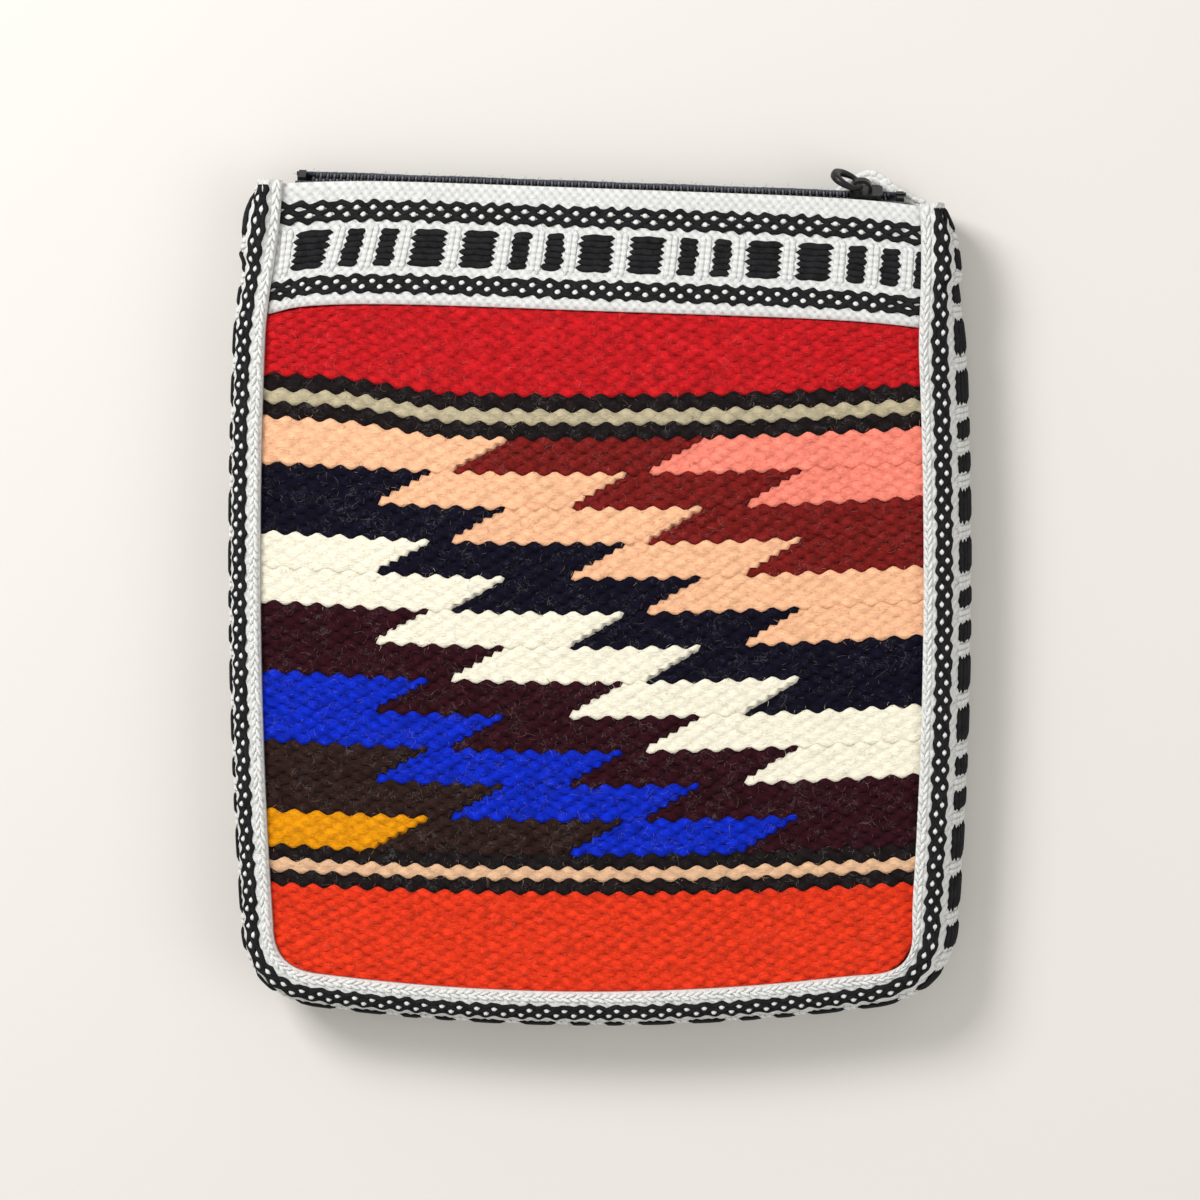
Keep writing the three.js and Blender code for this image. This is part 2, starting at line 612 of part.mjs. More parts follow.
function addTapes() {
  const tapeStart = COIL_REACH + GAP;
  const onZip = (across) => new THREE.Vector2(-leanSin * across, leanCos * across);
  const turn = onZip(TAPE_OFFSET);
  addTape('zip_tape_front', [onZip(tapeStart), turn, new THREE.Vector2(turn.x - TAPE_LAP, turn.y)]);
  const outside = backEdgeZ + BAND_THICK / 2 + GAP + TAPE_THICK / 2;
  const clear = GAP + TAPE_THICK / 2;
  const farDrop = (THREE.MathUtils.smoothstep(TAPE_LAP, 0, TOP_FALL)) * (middleZ - backEdgeZ - backUnder);
  const sheetEdge = -edgeY + clear + TAPE_THICK / 2;
  addTape('zip_tape_back', [
    onZip(-tapeStart),
    onZip(-TAPE_OFFSET),
    new THREE.Vector2(sheetEdge, -backEdgeZ),
    new THREE.Vector2(sheetEdge - clear, -outside),
    new THREE.Vector2(sheetEdge - TAPE_LAP, -outside - farDrop),
  ]);
}

function addCoils() {
  const root = COIL_SPLIT / 2 + TOOTH_DEPTH;
  const count = Math.floor((2 * chainHalf - TOOTH_PITCH) / TOOTH_PITCH);
  for (const [name, side, shift] of [['zip_coil_front', 1, 0], ['zip_coil_back', -1, TOOTH_PITCH / 2]]) {
    const comb = new THREE.Shape();
    comb.moveTo(-chainHalf, root);
    comb.lineTo(-chainHalf, COIL_REACH);
    comb.lineTo(chainHalf, COIL_REACH);
    comb.lineTo(chainHalf, root);
    for (let i = count - 1; i >= 0; i -= 1) {
      const middle = (i - (count - 1) / 2) * TOOTH_PITCH - TOOTH_PITCH / 4 + shift;
      comb.lineTo(middle + TOOTH_LENGTH / 2, root);
      comb.lineTo(middle + TOOTH_LENGTH / 2, COIL_SPLIT / 2);
      comb.lineTo(middle - TOOTH_LENGTH / 2, COIL_SPLIT / 2);
      comb.lineTo(middle - TOOTH_LENGTH / 2, root);
    }
    const row = slab(comb, -COIL_THICK / 2, COIL_THICK / 2);
    row.scale(1, 1, side);
    addPiece(name, row, COIL_NYLON, zip);
  }
}

function addStops() {
  const half = STOP_THICK / 2;
  const near = chainHalf + GAP;
  const far = near + STOP_LENGTH;
  const [inner, outer] = [COIL_SPLIT / 2, COIL_REACH];
  addPiece('zip_stop_front', block(near, far, -half, half, inner, outer), ZIP_METAL, zip);
  addPiece('zip_stop_back', block(near, far, -half, half, -outer, -inner), ZIP_METAL, zip);
  addPiece('zip_stop_far', block(-far, -near, -half, half, -outer, outer), ZIP_METAL, zip);
}

// Slider: two plates, walls that leave slots for the tapes, a web between the rows and a bridge on top.
function addSlider() {
  const slider = new THREE.Group();
  slider.position.x = SLIDER_AT;
  zip.add(slider);
  const [long, wide, round] = [SLIDER_LENGTH / 2, SLIDER_WIDTH / 2, SLIDER_CORNER];
  const plate = new THREE.Shape();
  plate.moveTo(-long + round, -wide);
  plate.lineTo(long - round, -wide);
  plate.quadraticCurveTo(long, -wide, long, -wide + round);
  plate.lineTo(long, wide - round);
  plate.quadraticCurveTo(long, wide, long - round, wide);
  plate.lineTo(-long + round, wide);
  plate.quadraticCurveTo(-long, wide, -long, wide - round);
  plate.lineTo(-long, -wide + round);
  plate.quadraticCurveTo(-long, -wide, -long + round, -wide);

  const overlap = SLIDER_PLATE / 4;
  const slot = TAPE_THICK / 2 + GAP;
  const wallEnd = long - round;
  let body = solid(slab(plate, plateInner, plateOuter)).add(solid(slab(plate, -plateOuter, -plateInner)));
  for (const side of [-1, 1]) {
    for (const up of [-1, 1]) {
      const outerFace = side * wide;
      const innerFace = side * (wide - SLIDER_WALL);
      const [low, high] = [up * slot, up * (plateInner + overlap)].sort((a, b) => a - b);
      const wall = block(-wallEnd, wallEnd, low, high,
        Math.min(outerFace, innerFace), Math.max(outerFace, innerFace));
      body = body.add(solid(wall));
    }
  }
  const webEnd = long - SLIDER_PLATE / 2;
  body = body.add(solid(block(webEnd - SLIDER_WEB_LENGTH, webEnd, -plateInner - overlap, plateInner + overlap,
    -SLIDER_WEB / 2, SLIDER_WEB / 2)));

  const bridge = new THREE.Shape();
  const [from, to] = [hingeX - BRIDGE_LENGTH / 2, hingeX + BRIDGE_LENGTH / 2];
  const top = plateOuter + BRIDGE_HEIGHT;
  bridge.moveTo(from, plateOuter - overlap);
  bridge.lineTo(to, plateOuter - overlap);
  bridge.quadraticCurveTo(to, top, hingeX, top);
  bridge.quadraticCurveTo(from, top, from, plateOuter - overlap);
  const eye = new THREE.Path();
  const [eyeFrom, eyeTo, eyeTop] = [from + BRIDGE_BAR, to - BRIDGE_BAR, top - BRIDGE_BAR];
  eye.moveTo(eyeFrom, plateOuter);
  eye.quadraticCurveTo(eyeFrom, eyeTop, hingeX, eyeTop);
  eye.quadraticCurveTo(eyeTo, eyeTop, eyeTo, plateOuter);
  eye.closePath();
  bridge.holes.push(eye);
  const options = { depth: BRIDGE_WIDTH, bevelEnabled: false, curveSegments: 8 };
  const arch = new THREE.ExtrudeGeometry(bridge, options);
  arch.translate(0, 0, -BRIDGE_WIDTH / 2);
  body = body.add(solid(arch));
  addPiece('zip_slider', body, ZIP_METAL, slider);

  const pull = new THREE.Group();
  pull.position.set(hingeX, hingeY, 0);
  pull.rotation.z = -degrees(PULL_SWING);
  slider.add(pull);
  const middle = (PULL_BAR - PULL_LENGTH) / 2;
  const ring = new THREE.Shape();
  ring.absellipse(middle, 0, PULL_LENGTH / 2, PULL_WIDTH / 2, 0, 2 * Math.PI);
  const hole = new THREE.Path();
  hole.absellipse(middle, 0, PULL_LENGTH / 2 - PULL_BAR, PULL_WIDTH / 2 - PULL_BAR, 0, 2 * Math.PI);
  ring.holes.push(hole);
  addPiece('zip_pull', slab(ring, -PULL_THICK / 2, PULL_THICK / 2), ZIP_METAL, pull);
}

addRedField();
addStripes(redBottom, upperStripes, [
  ['weft_black_1', 0x241a1c],
  ['weft_sage', 0xaa9e80],
  ['weft_black_2', 0x241a1c],
]);
addLightning();
addStripes(lightningBottom, lowerStripes, [
  ['weft_black_3', 0x241a1c],
  ['weft_tan', 0xdcb08c],
  ['weft_black_4', 0x241a1c],
]);
addOrangeField();
addFrontBand();
addBack();
addSideBand();
addStrap();
addTapes();
addCoils();
addStops();
addSlider();

// The origin goes under the middle of the bag.
const extent = new THREE.Box3().setFromObject(bag, true);
const centre = extent.getCenter(new THREE.Vector3());
bag.position.set(-centre.x, -centre.y, -extent.min.z);

export default bag;
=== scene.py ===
"""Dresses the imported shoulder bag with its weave, its bands, its zip and its strap, on a pale floor."""

import logging
import math
from dataclasses import dataclass, field
from enum import Enum
from functools import partial
from typing import Callable, Sequence

import bpy
import numpy as np
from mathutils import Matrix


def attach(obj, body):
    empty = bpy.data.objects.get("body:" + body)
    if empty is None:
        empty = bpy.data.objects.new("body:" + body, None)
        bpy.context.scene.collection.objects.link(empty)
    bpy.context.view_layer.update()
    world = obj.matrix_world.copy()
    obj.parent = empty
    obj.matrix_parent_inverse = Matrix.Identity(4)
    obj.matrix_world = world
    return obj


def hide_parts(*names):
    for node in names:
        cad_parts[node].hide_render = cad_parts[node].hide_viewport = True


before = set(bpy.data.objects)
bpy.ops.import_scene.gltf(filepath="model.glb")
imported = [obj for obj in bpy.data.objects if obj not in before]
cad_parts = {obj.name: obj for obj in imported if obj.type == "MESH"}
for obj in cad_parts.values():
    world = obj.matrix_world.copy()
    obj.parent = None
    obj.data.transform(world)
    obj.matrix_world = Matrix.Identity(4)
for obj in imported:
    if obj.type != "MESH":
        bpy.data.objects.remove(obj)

Array = np.ndarray
Place = Callable[[Array, Array, Array], Array]
Line = Callable[[Array], Array]
Colour = Sequence[float]
Link = bpy.types.NodeSocket
Feed = float | Colour | Link
Pair = tuple[float, float]
Triple = tuple[float, float, float]
Waves = Sequence[Pair]
Piece = bpy.types.Object
Names = Sequence[str]

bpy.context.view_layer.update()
METRES = 0.001
FRAME_SHIFT = (0.0009, -101.596, 0.0)
# Point attribute that carries the painted shade of the weave, darkest in its grooves.
SHADE_ATTRIBUTE = "crown"
MIX_FIRST, MIX_SECOND, MIX_RESULT = 6, 7, 2
HAIR_SIDES = 3
ROW_DRIFT = ((0.8, 0.11), (1.9, -0.07))
TOP_SHADE, SIDE_SHADE = 0.72, 0.17
LOG = logging.getLogger("bag")


class Body(Enum):
    """The rigid bodies that pieces ride on."""

    BAG = "bag"
    SLIDER = "slider"
    PULL = "pull"


def smooth(value: Array, end: float) -> Array:
    """Rises from 0 at 0 to 1 at end, level at both."""
    share = np.clip(value / end, 0.0, 1.0)
    return share * share * (3.0 - 2.0 * share)


def mix(start: Array, end: Array, share: Array) -> Array:
    """Goes from start to end as share goes from 0 to 1."""
    return start + (end - start) * share


def to_frame(points: Array) -> Array:
    """Moves millimetre points of the bag into the shared frame, in metres."""
    return (np.asarray(points, dtype=float) + np.array(FRAME_SHIFT)) * METRES


def linear(code: str) -> Triple:
    """Turns a colour code such as c41e24 into linear red, green and blue."""
    parts = [int(code[i:i + 2], 16) / 255.0 for i in (0, 2, 4)]
    return tuple(p / 12.92 if p <= 0.04045 else ((p + 0.055) / 1.055) ** 2.4 for p in parts)


def whitened(colour: Colour, share: float) -> Colour:
    """Mixes a colour with a share of white."""
    return [mix(part, 1.0, share) for part in colour]


def bend(start: Array, pull: Array, end: Array, share: Array) -> Array:
    """Point of a curve from start to end that leans towards pull on its way."""
    return (1 - share) ** 2 * start + 2 * share * (1 - share) * pull + share ** 2 * end


def swelling(share: Array, power: float, least: float) -> Array:
    """Thickness along a stitch, from 1 in its middle down to least at its ends."""
    full = np.sqrt(np.clip(1.0 - np.abs(2.0 * share - 1.0) ** power, 0.0, 1.0))
    return full * (1.0 - least) + least


def waver(along: Array, waves: Waves) -> Array:
    """Uneven line, the sum of waves that each have a height and a rate."""
    return sum(height * np.sin(along * rate) for height, rate in waves)


def ring_angles(sides: int) -> Array:
    """Angles of the points of one ring of a tube."""
    return np.linspace(0.0, 2.0 * math.pi, sides, endpoint=False)


def lit(angle: Array, level: float) -> Array:
    """Painted shade of the points of a ring: level at its sides, 1 on top and darker underneath, as if lit
    from above.
    """
    return level + (1.0 - level) * np.sin(angle)


def hair_rings(x: Array, y: Array, z: Array, heading: Array, radius: Array) -> Array:
    """Rings of thin hairs.

    Args:
        x: Places of the rings across the bag.
        y: Places of the rings along the bag.
        z: Levels of the rings.
        heading: Direction of the hair at each ring.
        radius: Radius of each ring.

    Returns:
        Points, with the sides of each ring in the last place but one.
    """
    angle = ring_angles(HAIR_SIDES)
    flat, up = np.cos(angle) * radius[:, None], np.sin(angle) * radius[:, None]
    return np.stack([x[..., None] - np.sin(heading)[..., None] * flat,
                     y[..., None] + np.cos(heading)[..., None] * flat, z[..., None] + up], axis=-1)


# Finishes


class Recipe:
    """The nodes of one new material, added with their values and links."""

    def __init__(self, name: str) -> None:
        """Starts the material with its shader and the place on the object.

        Args:
            name: Name of the material.
        """
        self.material = bpy.data.materials.new(name)
        self.material.use_nodes = True
        self.tree = self.material.node_tree
        self.shader = self.tree.nodes["Principled BSDF"]
        self.place = self.tree.nodes.new("ShaderNodeTexCoord").outputs["Object"]

    def feed(self, node: bpy.types.Node, inputs: dict[str | int, Feed]) -> bpy.types.Node:
        """Sets a node's inputs to values, or links them to sockets.

        Args:
            node: The node.
            inputs: Value or socket for each input.

        Returns:
            The node.
        """
        for key, source in inputs.items():
            if isinstance(source, bpy.types.NodeSocket):
                self.tree.links.new(source, node.inputs[key])
            else:
                node.inputs[key].default_value = source
        return node

    def add(self, kind: str, inputs: dict[str | int, Feed], **options: str) -> bpy.types.Node:
        """Adds a node.

        Args:
            kind: Kind of node.
            inputs: Value or socket for each input.
            options: The node's own settings.

        Returns:
            The node.
        """
        node = self.tree.nodes.new(f"ShaderNode{kind}")
        for option, chosen in options.items():
            setattr(node, option, chosen)
        return self.feed(node, inputs)

    def noise(self, scale: float, detail: float = 2.0, distortion: float = 0.0,
              place: Link | None = None) -> Link:
        """Adds a noise.

        Args:
            scale: Size of the noise, per metre.
            detail: How many finer noises are in it.
            distortion: How far it is twisted.
            place: Where it is read, if not at the place on the object.

        Returns:
            The noise, about 0.5.
        """
        return self.add("TexNoise", {"Vector": place or self.place, "Scale": scale, "Detail": detail,
                                     "Distortion": distortion}).outputs["Fac"]

    def math(self, operation: str, *terms: Feed) -> Link:
        """Adds a sum of two or three terms, and returns its value."""
        return self.add("Math", dict(enumerate(terms)), operation=operation).outputs["Value"]

    def span(self, value: Link, source: Pair, target: Pair) -> Link:
        """Carries a value from one range over to another.

        Args:
            value: The value.
            source: Ends of its own range.
            target: Ends of the new range.

        Returns:
            The value in the new range.
        """
        return self.add("MapRange", {
            "Value": value, "From Min": source[0], "From Max": source[1],
            "To Min": target[0], "To Max": target[1]}).outputs["Result"]

    def ramp(self, value: Link, stops: Sequence[tuple[float, Colour]]) -> Link:
        """Turns a value into a colour.

        Args:
            value: The value, from 0 to 1.
            stops: Places along the ramp, each with its colour.

        Returns:
            The colour.
        """
        node = self.add("ValToRGB", {"Fac": value})
        elements = node.color_ramp.elements
        for element, (at, colour) in zip(elements, stops):
            element.color, element.position = (*colour, 1.0), at
        for at, colour in stops[2:]:
            elements.new(at).color = (*colour, 1.0)
        return node.outputs["Color"]

    def bump(self, height: Link, strength: float, distance: float) -> None:
        """Raises the surface by a height, in metres at its most."""
        node = self.add("Bump", {"Height": height, "Strength": strength, "Distance": distance})
        self.feed(self.shader, {"Normal": node.outputs["Normal"]})


@dataclass(frozen=True)
class Finish:
    """A finish of the bag's pieces.

    Attributes:
        name: Name of the material.
        code: Its main colour.
    """

    name: str
    code: str

    def material(self) -> bpy.types.Material:
        """Makes the material, or finds it where it is made already.

        Returns:
            The material.
        """
        found = bpy.data.materials.get(self.name)
        if found:
            return found
        recipe = Recipe(self.name)
        self.dress(recipe)
        return recipe.material

    def dress(self, recipe: Recipe) -> None:
        """Adds the finish's own nodes to a new material."""
        raise NotImplementedError


@dataclass(frozen=True)
class YarnFinish(Finish):
    """Spun yarn: painted shade darkens it in the grooves of the weave; fibrous and a little uneven in its
    dye.

    Attributes:
        groove_shade: Brightness of the painted shade in the grooves, against the colour on top of the yarn.
        tip: How much paler the loose fibres are.
        fibre_scale: Fibres per metre across the yarn.
        fibre_bump: Height of the fibres, in metres.
        uneven: Strength of the dye's variation.
        cloud_scale: Patches of that variation per metre.
        streak: Fibres per metre along the yarn, against those across it.
        roughness: Roughness of the yarn.
        specular: Strength of its gloss.
        sheen: Weight of the soft sheen.
        sheen_spread: Roughness of the sheen.
        pallor: How much paler than the yarn the sheen and the hairs are.
        hair: Strength of the pale hairs that lie on the yarn.
        curl_scale: Curls of those hairs per metre.
        curl_width: Width of a hair within its curl.
        tuft_scale: Tufts of those hairs per metre.
    """

    # Painted shade in the grooves of the weave.
    groove_shade: float = 0.45
    tip: float = 0.1
    fibre_scale: float = 1300.0
    fibre_bump: float = 0.0005
    uneven: float = 0.42
    cloud_scale: float = 400.0
    streak: float = 1.0
    roughness: float = 0.92
    specular: float = 0.1
    sheen: float = 0.03
    sheen_spread: float = 0.55
    pallor: float = 0.2
    hair: float = 0.0
    curl_scale: float = 420.0
    curl_width: float = 0.02
    tuft_scale: float = 240.0

    def lay_hair(self, recipe: Recipe, dyed: Link) -> Link:
        """Lays fine curling hairs over the dyed yarn, thick in some places and thin in others.

        Args:
            recipe: The new material.
            dyed: Colour of the yarn.

        Returns:
            Colour of the yarn with its hairs.
        """
        line = recipe.math("COMPARE", recipe.noise(self.curl_scale, 1.0, 1.5), 0.5, self.curl_width)
        thick = recipe.span(recipe.noise(self.tuft_scale), (0.45, 0.65), (0.0, self.hair))
        pale = (*whitened(linear(self.code), self.pallor), 1.0)
        laid = {"Factor": recipe.math("MULTIPLY", line, thick), MIX_FIRST: dyed, MIX_SECOND: pale}
        return recipe.add("Mix", laid, data_type="RGBA").outputs[MIX_RESULT]

    def dress(self, recipe: Recipe) -> None:
        """Adds the yarn's fibres, its dye with painted shade in its grooves, and its hairs to a new material.

        Args:
            recipe: The new material.
        """
        colour = linear(self.code)
        spun = recipe.add("Mapping", {"Vector": recipe.place, "Scale": (self.streak, 1.0, 1.0)})
        fibre = recipe.noise(self.fibre_scale, 4.0, 1.4, spun.outputs["Vector"])
        # The point attribute sets the painted shade: darker in the grooves of the weave, full colour on top.
        crown = recipe.add("Attribute", {}, attribute_name=SHADE_ATTRIBUTE).outputs["Fac"]
        yarn = recipe.ramp(crown, [(0.05, [c * self.groove_shade for c in colour]), (0.7, colour),
                                   (1.0, whitened(colour, self.tip))])
        mottled = recipe.math("ADD", fibre, recipe.noise(self.cloud_scale, 5.0))
        shade = recipe.span(mottled, (0.78, 1.22), (1.0 - self.uneven, 1.0 + self.uneven))
        dyed = recipe.add("VectorMath", {0: yarn, "Scale": shade}, operation="SCALE").outputs["Vector"]
        if self.hair > 0.0:
            dyed = self.lay_hair(recipe, dyed)
        recipe.bump(fibre, 0.8, self.fibre_bump)
        recipe.feed(recipe.shader, {
            "Base Color": dyed, "Roughness": self.roughness, "Specular IOR Level": self.specular,
            "Sheen Weight": self.sheen, "Sheen Roughness": self.sheen_spread,
            "Sheen Tint": (*whitened(colour, self.pallor), 1.0)})


@dataclass(frozen=True)
class ClothFinish(Finish):
    """Plain woven cloth with a fine thread in each direction.

    Attributes:
        thread: Threads per metre.
        sheen: Weight of the soft sheen.
        shades: Brightness of the darkest and the palest threads.
        thread_bump: Height of the threads, in metres.
        patch_scale: Patches of the dye per metre.
    """

    thread: float = 900.0
    sheen: float = 0.2
    shades: Pair = (0.5, 1.5)
    thread_bump: float = 0.00025
    patch_scale: float = 120.0

    def dress(self, recipe: Recipe) -> None:
        """Adds the two threads and their patchy dye to a new material.

        Args:
            recipe: The new material.
        """
        waves = {"Vector": recipe.place, "Scale": self.thread / 20.0 * math.pi, "Distortion": 0.6}
        woven = recipe.math("MAXIMUM", *(
            recipe.add("TexWave", waves, bands_direction=way).outputs["Fac"] for way in ("X", "Y")))
        patchy = recipe.math("MULTIPLY", woven, recipe.noise(self.patch_scale, 6.0))
        dark, pale = ([min(1.0, c * shade) for c in linear(self.code)] for shade in self.shades)
        recipe.bump(woven, 0.7, self.thread_bump)
        recipe.feed(recipe.shader, {
            "Base Color": recipe.ramp(patchy, [(0.0, dark), (1.0, pale)]), "Roughness": 0.95,
            "Specular IOR Level": 0.15, "Sheen Weight": self.sheen})


@dataclass(frozen=True)
class HardFinish(Finish):
    """Black enamel or nylon, with worn and dusty places.

    Attributes:
        worn: Colour of the worn places.
        roughness: Roughness of the clean surface.
        dusty: How much rougher the worn places are.
        coat: Weight of the clear coat.
        wear_scale: Worn places per metre.
    """

    worn: str
    roughness: float
    dusty: float = 0.25
    coat: float = 0.1
    wear_scale: float = 900.0

    def dress(self, recipe: Recipe) -> None:
        """Adds the wear to a new material.

        Args:
            recipe: The new material.
        """
        wear = recipe.noise(self.wear_scale, 6.0)
        recipe.feed(recipe.shader, {
            "Base Color": recipe.ramp(wear, [(0.52, linear(self.code)), (0.78, linear(self.worn))]),
            "Roughness": recipe.span(wear, (0.3, 0.8), (self.roughness, self.roughness + self.dusty)),
            "Specular IOR Level": 0.3, "Coat Weight": self.coat, "Coat Roughness": 0.15})


WHITE_YARN = YarnFinish("white_band_yarn", "ebebe8", tip=0.0, uneven=0.07, fibre_scale=1700.0)
BLACK_YARN = YarnFinish("black_band_yarn", "1f1e20", groove_shade=0.4, tip=0.003, uneven=0.4)
WARP_YARN = YarnFinish("warp_yarn", "e6e2d8", groove_shade=0.6, uneven=0.07)
LOOSE_WOOL = YarnFinish("loose_wool", "96847a", tip=0.0, uneven=0.3)
ZIP_THREAD = YarnFinish("zip_thread", "6c6f77", groove_shade=0.5, tip=0.0, uneven=0.2)
BACK_CLOTH = ClothFinish("back_cloth", "323a4c")
TAPE_CLOTH = ClothFinish("zip_tape_cloth", "3c4250", thread=1500.0)
COIL_NYLON = HardFinish("coil_nylon", "19181b", "55555c", 0.35)
ZIP_ENAMEL = HardFinish("zip_enamel", "0b0a0b", "2e2c2b", 0.38)


# Form of the bag


@dataclass(frozen=True)
class BagForm:
    """Surfaces of the settled bag, in millimetres from the middle between its bottom corners.

    The fields are the bag's own sizes, and the methods take arrays of places across and along it.
    """

    body_height: float = 212.0
    mouth_width: float = 178.0
    waist_width: float = 184.8
    foot_width: float = 178.0
    foot_corner: float = 14.0
    bottom_sag: float = 7.0
    mouth_tilt: float = 2.05
    mouth_droop: float = 4.0
    depth: float = 20.8
    bulge: float = 6.5
    mouth_bulge: float = 4.5
    top_fall: float = 38.0
    crown: float = 4.0
    lean_x: float = 5.0
    lean_y: float = 3.0
    band_width: float = 33.0
    band_thick: float = 1.8
    back_thick: float = 2.0
    lap: float = 4.0
    seam_inset: float = 1.0
    hem: float = 17.0
    gap: float = 0.3
    strap_thick: float = 1.6
    zip_lean: float = 30.0
    slider_width: float = 7.0
    plate_outer: float = 2.4
    tape_thick: float = 0.8
    billow: float = 0.55
    band_draw: float = 0.96
    rim_rise: float = 0.4
    rim_reach: float = 6.0
    flare_height: float = 5.0
    flare_at: float = 74.0
    flare_reach: float = 6.5
    held_top: float = 0.5
    held_low: Pair = (-0.1, 0.55)
    held_reach: float = 24.0
    billow_broad: Pair = (19.0, 27.0)
    billow_start: Pair = (0.7, 0.4)
    billow_fine: Pair = (11.0, 16.0)
    billow_share: float = 0.6

    @property
    def back_under(self) -> float:
        """Level of the back's outer face."""
        return 2.0 * self.strap_thick + 2.0 * self.gap

    @property
    def lap_offset(self) -> float:
        """From an outer face to the middle of the band that laps over it."""
        return self.gap + self.band_thick / 2.0

    @property
    def middle_z(self) -> float:
        """Level of the zip's middle."""
        return self.back_under - self.lap_offset + self.depth / 2.0

    @property
    def front_top(self) -> float:
        """Level of the front's outer face at its edges."""
        return self.back_under - 2.0 * self.lap_offset + self.depth

    @property
    def lean(self) -> Pair:
        """Sine and cosine of the angle that the zip faces upwards."""
        angle = math.radians(self.zip_lean)
        return math.sin(angle), math.cos(angle)

    @property
    def edge(self) -> Pair:
        """Offset of the front band's edge from the zip, towards the mouth and up."""
        sine, cosine = self.lean
        spread = self.slider_width / 2.0 + self.gap + cosine * self.band_thick / 2.0
        lift = self.tape_thick / 2.0 + self.gap + self.band_thick / 2.0
        return cosine * lift - sine * spread, cosine * spread + sine * lift

    @property
    def back_edge(self) -> float:
        """Drop of the back band's edge below the zip."""
        sine, cosine = self.lean
        return cosine * self.slider_width / 2.0 + sine * self.plate_outer + self.gap + self.band_thick / 2.0

    @property
    def panel_width(self) -> float:
        """Width of the front's and the back's cloth as it was cut."""
        return self.waist_width - 2.0 * self.seam_inset

    def droop(self, x: Array) -> Array:
        """How far the mouth hangs below its straight line, which is most at its ends."""
        return self.mouth_droop * (2.0 * x / self.mouth_width) ** 6

    def mouth_line(self, x: Array) -> Array:
        """Height of the mouth's middle, along the zip and drooping past its ends."""
        x = np.asarray(x, dtype=float)
        return self.body_height - math.tan(math.radians(self.mouth_tilt)) * x - self.droop(x)

    def band_line(self, x: Array, across: Array) -> Array:
        """Height of the front band.

        Args:
            x: Place across the bag.
            across: Distance down from the band's upper edge.

        Returns:
            Height along the bag.
        """
        held = mix(self.held_top, np.where(x < 0.0, *self.held_low), smooth(across, self.held_reach))
        rim = self.rim_rise * (1.0 - smooth(across, self.rim_reach))
        return self.mouth_line(x) + self.edge[0] + rim + held * self.droop(x) - self.band_draw * across

    def flare(self, x: Array) -> Array:
        """How far the back's edge is pulled up beside the closed slider."""
        off = (np.asarray(x, dtype=float) - self.flare_at) / self.flare_reach
        return self.flare_height * np.exp(-off ** 2)

    def bottom_line(self, x: Array) -> Array:
        """Height of the bottom fold."""
        return -self.bottom_sag * (1.0 - (2.0 * x / self.foot_width) ** 2)

    def half_width(self, y: Array) -> Array:
        """Half of the width between the side folds.

        Args:
            y: Height along the bag.

        Returns:
            Half of the width.
        """
        share = (self.body_height - y) / (self.body_height - self.foot_corner)
        pull = self.waist_width - (self.mouth_width + self.foot_width) / 4.0
        return bend(self.mouth_width / 2.0, pull, self.foot_width / 2.0, share)

    def fullness(self, x: Array, y: Array) -> Array:
        """How far the bag has filled out below its mouth."""
        return smooth(self.mouth_line(x) + self.edge[0] - y, self.top_fall)

    def front_face(self, x: Array, y: Array) -> Array:
        """Level of the front's outer face, with its soft unevenness.

        Args:
            x: Place across the bag.
            y: Height along the bag.

        Returns:
            Level of the face.
        """
        across = np.minimum(1.0, np.abs(x) / (self.half_width(y) - self.lap))
        along = np.minimum(1.0, np.abs(2.0 * y / self.body_height - 1.0))
        fade = (1.0 - across ** 2) ** 2 * (1.0 - along ** 2) ** 2
        broad_x, broad_y = (np.sin(at / size + start) for at, size, start in zip(
            (x, y), self.billow_broad, self.billow_start))
        fine = np.sin(x / self.billow_fine[0] - y / self.billow_fine[1])
        dent = self.billow * (broad_x * broad_y + self.billow_share * fine) * np.sqrt(fade)
        mouth = self.middle_z + self.edge[1] + self.band_thick / 2.0
        return mix(mouth, self.front_top, self.fullness(x, y)) + self.crown * fade + dent

    def back_face(self, x: Array, y: Array) -> Array:
        """Level of the back's outer face."""
        mouth = self.middle_z - self.back_edge - self.band_thick / 2.0
        return mix(mouth, self.back_under, self.fullness(x, y))

    def settle(self, x: Array, y: Array, z: Array) -> Array:
        """Shears a point with the bag, whose back lies a little to the right of its front."""
        shear = self.fullness(x, y) * (z - self.middle_z) / self.depth
        return np.stack(np.broadcast_arrays(x - self.lean_x * shear, y - self.lean_y * shear, z), axis=-1)


# Mesh making


